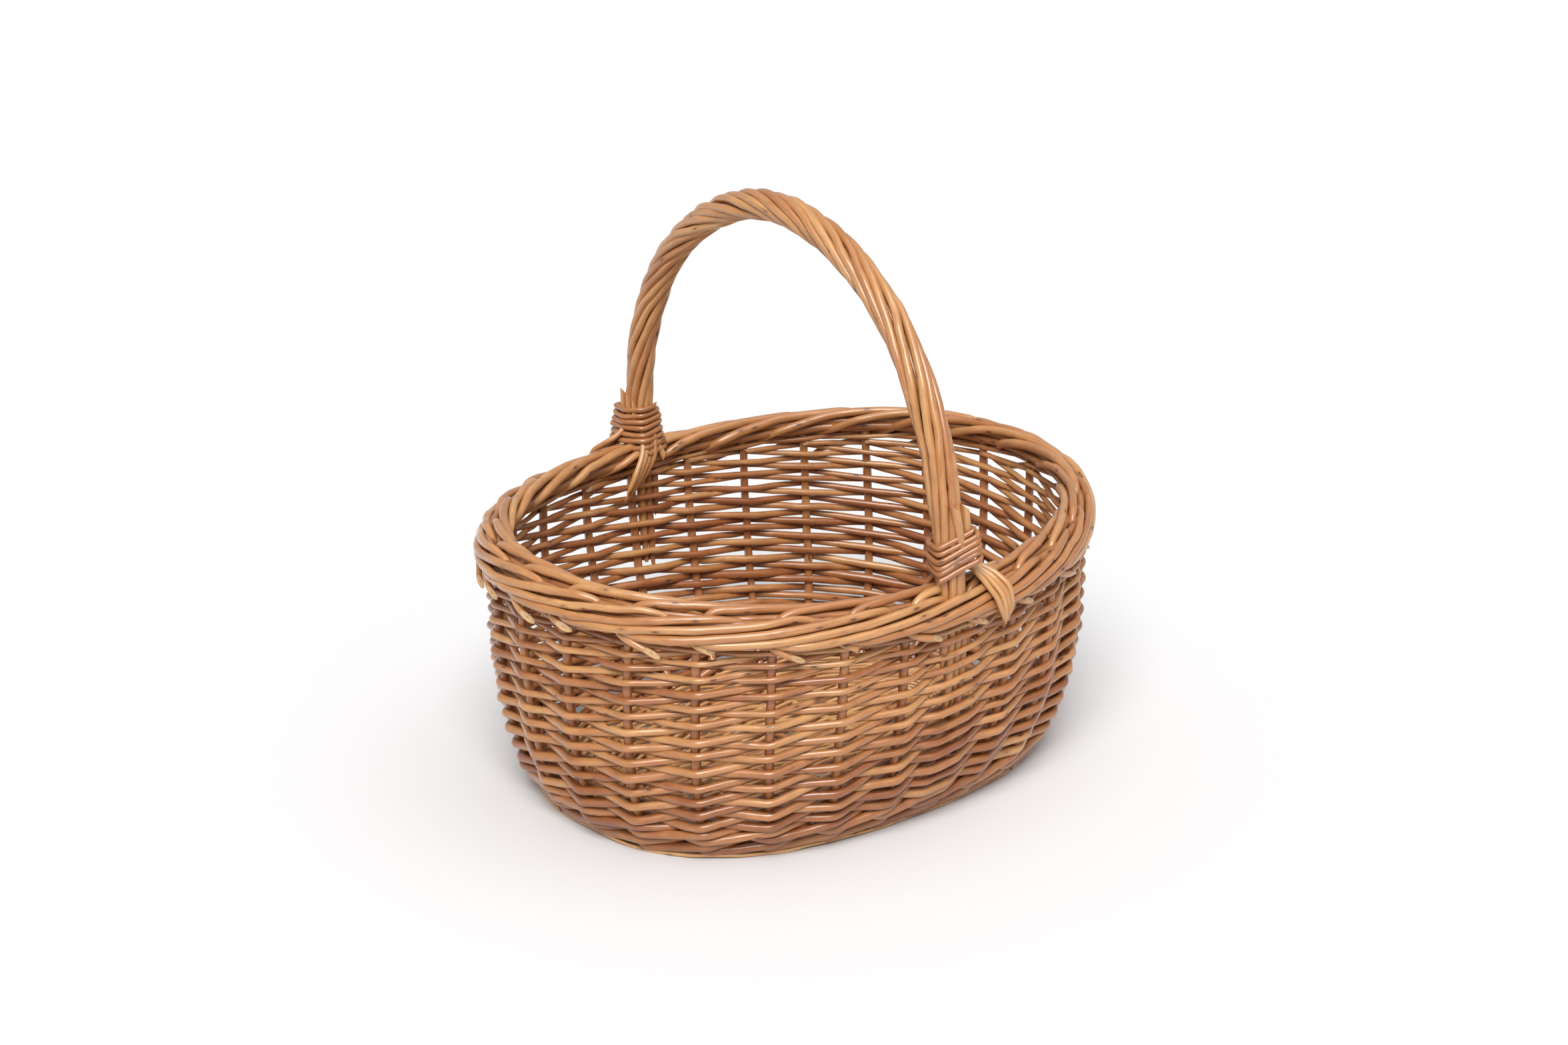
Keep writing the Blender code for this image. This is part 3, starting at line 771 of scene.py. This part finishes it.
def build_border_rod(number):
    rods = Rods(f"border_rod_{number + 1:02d}", 400 + number)
    rng = rods.rng
    path = np.array(BORDER_PATH)
    count = len(path)
    path[:, 0] += np.where(path[:, 0] > SPREAD_FROM, rng.normal(size=count) * ALONG_SPREAD, 0)
    path[:, 1] += rng.normal(size=count) * BORDER_SPREAD
    path[:, 2] += rng.normal(size=count) * BORDER_SPREAD
    tail = rng.choice(TAILS)
    path[-1, 0] += tail
    path[-1, 2] -= tail * TAIL_DROP
    along, out, up = dense_columns(path, BORDER_POINTS)
    looks = normal(number + TAIL_AT, WALL) + np.array((0, 0, TAIL_LOOKS_UP))
    scale = 1 + rng.normal() * BORDER_RADIUS_SPREAD
    radius = [(share, size * scale) for share, size in BORDER_RADIUS]
    rods.add(border(stake_place(number) + along, out, up), radius, BORDER_BLUR, (0.0, TAIL_CUT),
             (None, looks), tone=rng.uniform(*BORDER_TONES))
    rods.finish(RIMS, "willow_border", "rolled_border")


def build_border():
    for number in range(STAKES):
        build_border_rod(number)
    # Ends that run on inside the border and fill it
    for k, (out, up, size) in enumerate(FILLINGS):
        rods = Rods(f"border_filling_{k + 1}", 450 + k)
        at = np.linspace(0, STAKES, FILLING_POINTS)
        waver = np.sin(at * math.pi * 2 * (5 + k) / STAKES + k) * FILLING_WAVER
        rods.add(border(at, out + waver, up - waver), size, FILLING_BLUR, tone=FILLING_TONE)
        rods.finish(RIMS, "willow_border", "rolled_border")


# ---- handle ----

# The front leg leans to one side near its foot
LEG_SHIFT = 0.0068
LEG_BEND = 0.19
ARCH_POINTS = 240
# Length up the wall where the pointed ends of the bow are, and its radius along its whole length
BOW_END = 0.095
LEG_POINTS = 12
BOW_THICKNESS = ((0, 0.0014), (0.03, 0.0030), (0.13, 0.0040), (0.2, BOW_RADIUS),
                 (0.8, BOW_RADIUS), (0.87, 0.0040), (0.97, 0.0030), (1, 0.0014))
HANDLE_BLUR = 0.004
# Turns that the wrapping makes in a whole handle's length, by share of the length from the front foot
TWIST = ((0.0, 0.4), (0.12, 0.9), (0.3, 2.3), (0.45, 3.5), (0.6, 3.7), (0.78, 3.0), (1.0, 1.5))
WRAP_RODS = 9
WRAP_MIDDLE = 0.0078
WRAP_THICKNESS = ((0, 0.0027), (0.3, 0.0028), (0.7, 0.0028), (1, 0.0026))
# How far from the bow the wrapping lies, as a share of WRAP_MIDDLE
WRAP_REACH = ((0, 0.84), (0.05, 0.93), (0.12, 1.04), (0.25, 1.06), (0.45, 1), (0.88, 1), (0.95, 0.92),
              (1, 0.82))
# How far a wrapping rod strays in angle and in reach, and over what lengths
WRAP_SWING = 0.06
WRAP_SWING_LENGTH = 0.09
WRAP_DRIFT = 0.0003
WRAP_DRIFT_LENGTH = 0.07
WRAP_TONES = (0.2, 0.95)


def arch_point(turn):
    front = surface(FRONT, WALL)
    back = surface(BACK, WALL)
    lift = np.abs(np.sin(turn)) ** ARCH_SHOULDER
    swing = np.copysign(np.abs(np.cos(turn)) ** ARCH_SPREAD, np.cos(turn))
    foot = (front[2] + back[2]) / 2 + (front[2] - back[2]) / 2 * swing
    y = (front[1] - back[1]) / 2 * swing + ARCH_LEAN * lift
    return np.stack([np.zeros_like(y), y, foot + (ARCH_TOP - foot) * lift], -1)


def arch_line():
    """The handle's middle line from one side of the border to the other in even steps, with the length
    at each point and the direction outward from the arch."""
    dense = arch_point(np.linspace(0, math.pi, 1441))
    lengths = lengths_along(dense)
    at = np.linspace(0.0, lengths[-1], ARCH_POINTS)
    line = np.stack([np.interp(at, lengths, dense[:, k]) for k in range(3)], 1)
    upward = np.cross(unit(np.gradient(line, axis=0)), (1.0, 0.0, 0.0))
    line[:, 0] -= LEG_SHIFT * np.maximum(1 - (at / LEG_BEND) ** 2, 0)
    return at, line, upward


def build_handle():
    at, line, upward = arch_line()
    rods = Rods("handle_core", 500)
    leg = np.linspace(BOW_END, WALL, LEG_POINTS)
    points = np.vstack([surface(FRONT, leg), line[1:-1], surface(BACK, leg)[::-1]])
    rods.add(points, BOW_THICKNESS, HANDLE_BLUR)
    rods.finish(HANDLE, "willow_handle", "handle_bow")
    # The wrapping rods lie nearly straight on the legs and cross the top at a slant
    share = at / at[-1]
    rate = np.interp(share, *zip(*TWIST))
    twist = 2 * math.pi * np.concatenate(([0], np.cumsum((rate[1:] + rate[:-1]) / 2 * np.diff(share))))
    for k in range(WRAP_RODS):
        rods = Rods(f"handle_wrap_{k + 1:02d}", 520 + k)
        angle = 2 * math.pi * k / WRAP_RODS + twist + WRAP_SWING * wave(at, WRAP_SWING_LENGTH, rods.rng)
        reach = WRAP_MIDDLE + WRAP_DRIFT * wave(at, WRAP_DRIFT_LENGTH, rods.rng)
        reach = reach * np.interp(share, *zip(*WRAP_REACH))
        points = line + upward * (np.sin(angle) * reach)[:, None]
        points[:, 0] += np.cos(angle) * reach
        rods.add(points, WRAP_THICKNESS, HANDLE_BLUR, waver=STRONG_WAVER, tone=rods.rng.uniform(*WRAP_TONES))
        rods.finish(HANDLE, "willow_handle", "handle_wrapping")


# ---- bindings and pegs ----

# Corners that a binding goes round, seen from above, from the middle of the handle
FRONT_CORNERS = (
    (-0.0138, -0.0050), (0.0130, -0.0165), (0.0153, -0.0050),
    (0.0085, 0.0120), (-0.0092, 0.0108),
)
BACK_CORNERS = (
    (-0.0064, -0.0165), (0.0152, -0.0112), (0.0122, 0.0140),
    (-0.0135, 0.0185), (-0.0170, -0.0010),
)
# Turns, height of the first above the border, pitch, slope, size of the last turn beside the first, radius
FRONT_BINDING = (5, 0.0125, 0.0040, 0.46, 0.95, 0.0020)
BACK_BINDING = (7, -0.0065, 0.0046, 0.0, 0.74, 0.0021)
BINDING_BLUR = 0.0019
BINDING_CUTS = (0.006, 0.006)
BINDING_TONE = 0.3
BINDING_SCALE_SPREAD = 0.015
BINDING_RISE_SPREAD = 0.0003
# Name, at the back or not, radius, and its foot and tip: across and along from the middle of the handle,
# and up from the middle of the border
PEGS = (
    ("front_peg_1", False, 0.0030, (0.0060, -0.0080, 0.022), (-0.0030, -0.0125, 0.0665)),
    ("front_peg_2", False, 0.0029, (0.0095, -0.0070, 0.022), (0.0072, -0.0110, 0.065)),
    ("back_peg_1", True, 0.0019, (-0.0090, 0.0040, 0.022), (-0.0105, 0.0050, 0.050)),
    ("back_peg_2", True, 0.0020, (-0.0095, -0.0014, 0.022), (-0.0104, -0.0014, 0.047)),
    ("back_peg_3", True, 0.0020, (-0.0078, -0.0058, 0.022), (-0.0088, -0.0063, 0.043)),
    ("back_peg_4", True, 0.0022, (0.0055, -0.0110, 0.012), (0.0115, -0.0150, -0.004)),
)
PEG_POINTS = 10
PEG_CUT = 0.005
PEG_LOOKS = (0.7, -0.2, 0.2)
PEG_TONE = 0.7


def leg_points(back, high):
    """Points on the middle of one leg of the handle, at lengths from the middle of the border."""
    at, line, _ = arch_line()
    if back:
        line = line[::-1]
    return np.stack([np.interp(high, at, line[:, k]) for k in range(3)], 1)


def build_lap(name, node, back, corners, binding, seed):
    """A thin rod wound round the foot of the handle and the pegs beside it."""
    turns, start, pitch, slope, last_size, radius = binding
    rods = Rods(name, seed)
    count = len(corners)
    turn = np.arange(turns * count + 2) / count
    scale = np.interp(turn, (0, turns), (1, last_size))
    scale = scale + rods.rng.normal(size=len(turn)) * BINDING_SCALE_SPREAD
    x, y = np.array([corners[i % count] for i in range(len(turn))]).T * scale
    high = BORDER_TOP + start + pitch * turn + rods.rng.normal(size=len(turn)) * BINDING_RISE_SPREAD
    points = leg_points(back, high) + np.stack([x, y, slope * x], 1)
    rods.add(points, radius, BINDING_BLUR, BINDING_CUTS, waver=STRONG_WAVER, tone=BINDING_TONE)
    rods.finish(BINDING, "willow_binding", node)


def build_pegs():
    """Cut rod ends beside the bindings. All but the last stand above them."""
    for i, (name, back, radius, foot, tip) in enumerate(PEGS):
        rods = Rods(name, 600 + i)
        places = np.linspace(foot, tip, PEG_POINTS)
        points = leg_points(back, places[:, 2])
        points[:, :2] += places[:, :2]
        # The leg's points stop at the middle of the border
        points[:, 2] += np.minimum(places[:, 2], 0)
        rods.add(points, radius, cuts=(0.0, PEG_CUT), faces_to=(None, PEG_LOOKS), buds=False, tone=PEG_TONE)
        rods.finish(HANDLE, "willow_handle")


# ---- tucks and liners ----

# Stakes from the foot of the handle, out and up
FRONT_OUTER_TUCK = (
    (0.20, -0.0080, 0.0290), (0.25, -0.0060, 0.0225), (0.33, -0.0010, 0.0165), (0.43, 0.0080, 0.0105),
    (0.51, 0.0168, 0.0015), (0.565, 0.0182, -0.0110), (0.60, 0.0162, -0.0245),
)
# At the back it starts further out
BACK_OUTER_TUCK = (
    (0.20, 0.0030, 0.0250), (0.26, 0.0040, 0.0190), (0.34, 0.0060, 0.0145), *FRONT_OUTER_TUCK[3:],
)
FRONT_INNER_TUCK = (
    (0.05, -0.0085, 0.0210), (0.12, -0.0120, 0.0140), (0.20, -0.0150, 0.0060), (0.28, -0.0160, -0.0030),
    (0.36, -0.0145, -0.0120), (0.42, -0.0120, -0.0210),
)
BACK_INNER_TUCK = (
    (0.00, -0.0095, 0.0180), (0.05, -0.0135, 0.0090), (0.09, -0.0155, 0.0030), (0.19, -0.0160, -0.0050),
    (0.31, -0.0155, -0.0130), (0.43, -0.0140, -0.0210), (0.54, -0.0120, -0.0290),
)
# How far apart the rods of a tuck lie, from its start to its end
OUTER_SPACING = (0.0006, 0.0020, 0.0036, 0.0043, 0.0044, 0.0032, 0.0007)
INNER_SPACING = (0.0030, 0.0036, 0.0040, 0.0044, 0.0046)
# Name, node, stake, way round the wall, places, spacing and tone
TUCKS = (
    ("front_tuck_outside", "front_outer_tuck", FRONT, 1, FRONT_OUTER_TUCK, OUTER_SPACING, 0.85),
    ("front_tuck_inside", "front_inner_tuck", FRONT, -1, FRONT_INNER_TUCK, INNER_SPACING, 0.2),
    ("back_tuck_outside", "back_outer_tuck", BACK, 1, BACK_OUTER_TUCK, OUTER_SPACING, 0.5),
    ("back_tuck_inside", "back_inner_tuck", BACK, 1, BACK_INNER_TUCK, INNER_SPACING, 0.7),
)
TUCK_POINTS = 40
TUCK_THICKNESS = ((0, 0.0020), (0.72, 0.0020), (0.9, 0.0016), (1, 0.0003))
TUCK_BLUR = 0.0022
# What the four rods of a tuck add to its tone
TUCK_ROD_TONES = (-0.15, 0.1, -0.05, 0.15)
# Stakes beside the foot of the handle, length up the wall where the point is, and radius
LINERS = ((-SHIFT, 0.086, 0.0032), (-0.27, 0.128, 0.0028))
LINER_POINT = 0.0008
LINER_POINTED = 0.25
LINER_CUT = 0.006
LINER_POINTS = 14
LINER_OUT = 0.0006
LINER_TOP = 0.004


def build_tuck(seed, name, node, number, way, path, spacing, tone):
    """Four rods side by side over the border, one a little shorter than the next."""
    along, out, up = dense_columns(path, TUCK_POINTS)
    spaces = np.interp(np.linspace(0, 1, TUCK_POINTS), np.linspace(0, 1, len(spacing)), spacing)
    stakes = number + way * along
    middle = border(stakes, out, up)
    ahead = unit(np.gradient(middle, axis=0))
    across = unit(np.cross(ahead, unit(middle - top_of(stakes))))
    rods = Rods(name, seed)
    for k, rod_tone in enumerate(TUCK_ROD_TONES):
        points = middle + across * ((k - 1.5) * spaces)[:, None]
        points = points[:TUCK_POINTS - int(rods.rng.integers(0, 5))]
        rods.add(points, TUCK_THICKNESS, TUCK_BLUR, tone=tone + rod_tone)
    rods.finish(HANDLE, "willow_handle", node)


def build_liners():
    """Pointed rods pushed down beside each end of the bow."""
    for side, number in (("front", FRONT), ("back", BACK)):
        rods = Rods(f"{side}_liners", 660 + number)
        for offset, low, size in LINERS:
            arcs = np.linspace(low, WALL + LINER_TOP, LINER_POINTS)
            points = wall(np.full(LINER_POINTS, number + offset), arcs, np.full(LINER_POINTS, LINER_OUT))
            thickness = ((0, LINER_POINT), (LINER_POINTED, size), (1, size))
            rods.add(points, thickness, cuts=(LINER_CUT, 0.0), tone=1.0)
        rods.finish(STAKE, "willow_stake", f"{side}_handle_liner")


# ---- base ----

# Half length and half width of the opening in the middle of the base weave
BASE_INNER = (0.120, 0.0105)
BASE_ROWS = 29
BASE_ROD = 0.0015
BASE_ROD_SPREAD = 0.00008
BASE_SHARES = (0.02, 1.035)
BASE_SWING = 0.0034
BASE_BLUR = 0.004
BASE_TONES = (0.4, 1.0)
BASE_THIRDS = 3
# The long sticks lie side by side as far as their turn, and fan out from there
LONG_RADIUS = 0.0026
LONG_SPACING = 0.0057
LONG_FAN = 0.034
LONG_TURN = 0.098
LONG_END = 0.1645
LONG_END_CHANGE = 0.008
LONG_REACH = 0.160
LONG_BLUR = 0.006
# The short sticks are split in two round the long sticks: place along and rise of each half
SHORT_RADIUS = 0.0019
SHORT_REACH = 0.11
SHORT_END_GAP = 0.006
SPLIT_END_RISE = 0.0009
SPLIT = ((0.022, 0.0012), (0.011, 0.0038))
# Rods round the edge of the base, under the upsett: how far out, and height
EDGE_RODS = ((0.0110, 0.0017), (0.0060, 0.0020), (0.0100, 0.0046))
EDGE_ROD = 0.0014
EDGE_WAVES = 13
EDGE_WAVE = 0.0005
EDGE_WAVE_SHIFT = 900
EDGE_TONE = 0.9
HALVINGS = 40


def base_outline(share):
    """Half length and half width of the base outline, from the middle opening to the edge."""
    return tuple(inner + (edge - inner) * share for inner, edge in zip(BASE_INNER, BASE_EDGE))


def base_size(x, y, outline):
    """Below 1 inside the outline, and 1 on it."""
    return abs(x / outline[0]) ** BASE_ROUNDNESS + abs(y / outline[1]) ** BASE_ROUNDNESS


def stick_crossing(start, end, outline):
    """Where a half stick crosses the outline."""
    start, end = np.array(start, float), np.array(end, float)
    low, high = 0.0, 3.0
    for _ in range(HALVINGS):
        share = (low + high) / 2
        inside = base_size(*(start + (end - start) * share), outline) < 1
        low, high = (share, high) if inside else (low, share)
    return start + (end - start) * low


def half_sticks():
    """Every half stick as a start and an end in plan, in order round the base."""
    front = [((x, 0), (x, -SHORT_REACH)) for x in SHORT_STICKS]
    back = [((x, 0), (x, SHORT_REACH)) for x in reversed(SHORT_STICKS)]
    right = [((LONG_TURN, k * LONG_SPACING), (LONG_REACH, k * LONG_FAN)) for k in (-1, 0, 1)]
    left = [((-LONG_TURN, k * LONG_SPACING), (-LONG_REACH, k * LONG_FAN)) for k in (1, 0, -1)]
    return front + right + back + left


def build_long_sticks():
    for k in (-1, 0, 1):
        rods = Rods(f"base_long_rod_{k + 2}", 700 + k)
        far = LONG_END - abs(k) * LONG_END_CHANGE
        places = ((-far, LONG_FAN), (-LONG_TURN, LONG_SPACING), (LONG_TURN, LONG_SPACING), (far, LONG_FAN))
        rods.add([(x, k * y, BASE_MIDDLE) for x, y in places], LONG_RADIUS, LONG_BLUR)
        rods.finish(BASE, "willow_base", f"base_long_stick_{k + 2}")


def build_short_sticks():
    for i, x in enumerate(SHORT_STICKS):
        rods = Rods(f"base_short_rod_{i + 1}", 710 + i)
        edge = (1 - (abs(x) / BASE_EDGE[0]) ** BASE_ROUNDNESS) ** (1 / BASE_ROUNDNESS)
        places = ((BASE_EDGE[1] * edge - SHORT_END_GAP, SPLIT_END_RISE), *SPLIT)
        for way in (-1, 1):
            points = [(x, -y, BASE_MIDDLE + way * rise) for y, rise in places]
            points += [(x, y, BASE_MIDDLE + way * rise) for y, rise in reversed(places)]
            rods.add(points, SHORT_RADIUS, BASE_BLUR)
        rods.finish(BASE, "willow_base", f"base_short_stick_{i + 1}")


def base_row(row, outline):
    """One row of the base weave, over one stick and under the next."""
    crossings = [stick_crossing(start, end, outline) for start, end in half_sticks()]
    points = []
    for i, here in enumerate(crossings):
        side = 1 if (i + row) % 2 else -1
        points.append((*here, BASE_MIDDLE + side * BASE_SWING))
        x, y = (here + crossings[(i + 1) % len(crossings)]) / 2
        grow = base_size(x, y, outline) ** (-1 / BASE_ROUNDNESS)
        points.append((x * grow, y * grow, BASE_MIDDLE))
    return points + points[:1]


def build_base_weave():
    thirds = [Rods(f"base_weave_{k + 1}", 730 + k) for k in range(BASE_THIRDS)]
    for row, share in enumerate(np.linspace(*BASE_SHARES, BASE_ROWS)):
        rods = thirds[min(int(share * BASE_THIRDS), BASE_THIRDS - 1)]
        radius = BASE_ROD + rods.rng.normal() * BASE_ROD_SPREAD
        rods.add(base_row(row, base_outline(share)), radius, BASE_BLUR,
                 tone=rods.rng.uniform(*BASE_TONES), sides=BASE_SIDES)
    turn = np.linspace(0, 2 * math.pi, 261)
    for grow, high in EDGE_RODS:
        x, y = oval(turn, BASE_EDGE[0] + grow, BASE_EDGE[1] + grow, BASE_ROUNDNESS)
        z = high + EDGE_WAVE * np.sin(EDGE_WAVES * turn + grow * EDGE_WAVE_SHIFT)
        thirds[-1].add(np.stack([x, y, z], 1), EDGE_ROD, tone=EDGE_TONE, sides=BASE_SIDES, waver=STRONG_WAVER)
    for k, rods in enumerate(thirds):
        rods.finish(BASE, "willow_base", f"base_weave_ring_{k + 1}")


# ---- floor, light and camera ----

FLOOR_SIZE = 14
FLOOR_HEIGHT = -0.0002
FLOOR_COLOURS = ((0.0, (0.69, 0.69, 0.70)), (1.0, (0.71, 0.71, 0.72)))
WORLD_COLOUR = (0.98, 0.99, 1.0, 1)
WORLD_STRENGTH = 0.45
# Name, azimuth, elevation, spread in degrees, strength and colour
SUNS = (
    ("key", 44, 49, 32, 3.1, (1.0, 0.985, 0.965)),
    ("fill", -10, 76, 60, 0.9, (1.0, 0.99, 0.98)),
)
CAMERA_AZIMUTH = 39.466
CAMERA_ELEVATION = 21.001
CAMERA_TARGET = (0, 0, 0.1646)
CAMERA_DISTANCE = 2.1857
CAMERA_LENS = 73.4
CAMERA_SENSOR = 36
CAMERA_SHIFT = (-0.00406, 0.00648)


def floor_material():
    material = bpy.data.materials.new("floor")
    material.use_nodes = True
    make = Nodes(material.node_tree)
    shader = make.nodes["Principled BSDF"]
    noise = make.new("ShaderNodeTexNoise", Scale=3)
    colour = make.ramp(noise.outputs["Fac"], FLOOR_COLOURS)
    make.links.new(colour, shader.inputs["Base Color"])
    shader.inputs["Roughness"].default_value = 0.9
    shader.inputs["Specular IOR Level"].default_value = 0.1
    return material


def build_floor():
    bpy.ops.mesh.primitive_plane_add(size=FLOOR_SIZE, location=(0, 0, FLOOR_HEIGHT))
    floor = bpy.context.object
    floor.name = "floor"
    floor.data.materials.append(floor_material())


def towards(azimuth, elevation):
    """The direction to a place, in degrees round from the front side towards the left end, and up."""
    azimuth, elevation = math.radians(azimuth), math.radians(elevation)
    level = math.cos(elevation)
    return Vector((-math.sin(azimuth) * level, -math.cos(azimuth) * level, math.sin(elevation)))


def look_back(item, way):
    """Turns a light or camera that stands that way to face the middle."""
    bpy.context.scene.collection.objects.link(item)
    item.rotation_mode = "QUATERNION"
    item.rotation_quaternion = (-way).to_track_quat("-Z", "Y")


def build_lights():
    world = bpy.data.worlds.new("studio")
    bpy.context.scene.world = world
    world.use_nodes = True
    background = world.node_tree.nodes["Background"]
    background.inputs["Color"].default_value = WORLD_COLOUR
    background.inputs["Strength"].default_value = WORLD_STRENGTH
    for name, azimuth, elevation, spread, strength, colour in SUNS:
        data = bpy.data.lights.new(name, "SUN")
        data.angle = math.radians(spread)
        data.energy = strength
        data.color = colour
        look_back(bpy.data.objects.new(name, data), towards(azimuth, elevation))


def build_camera():
    camera = bpy.data.objects.new("camera", bpy.data.cameras.new("camera"))
    way = towards(CAMERA_AZIMUTH, CAMERA_ELEVATION)
    look_back(camera, way)
    camera.location = Vector(CAMERA_TARGET) + way * CAMERA_DISTANCE
    camera.data.lens = CAMERA_LENS
    camera.data.sensor_width = CAMERA_SENSOR
    camera.data.shift_x, camera.data.shift_y = CAMERA_SHIFT
    bpy.context.scene.camera = camera


# ---- the basket ----

build_stakes()
build_side_weave()
build_waling("upsett_rod", "upsett_waling", ((16, 0.0045), (8, 0.0186)), half=0.0038, radius=0.0031,
             seed=300, tones=(0.0, 0.5))
build_waling("top_wale_rod", "top_waling", ((5, 0.1685), (18, 0.1740), (11, 0.1792)), half=0.0016,
             radius=0.0017, seed=320, tones=(0.2, 0.8))
build_border()
build_handle()
build_lap("front_binding", "front_lap", False, FRONT_CORNERS, FRONT_BINDING, 560)
build_lap("back_binding", "back_lap", True, BACK_CORNERS, BACK_BINDING, 561)
build_pegs()
for index, tuck in enumerate(TUCKS):
    build_tuck(640 + index, *tuck)
build_liners()
build_long_sticks()
build_short_sticks()
build_base_weave()
build_floor()
build_lights()
build_camera()
bpy.context.scene.view_settings.view_transform = "Standard"
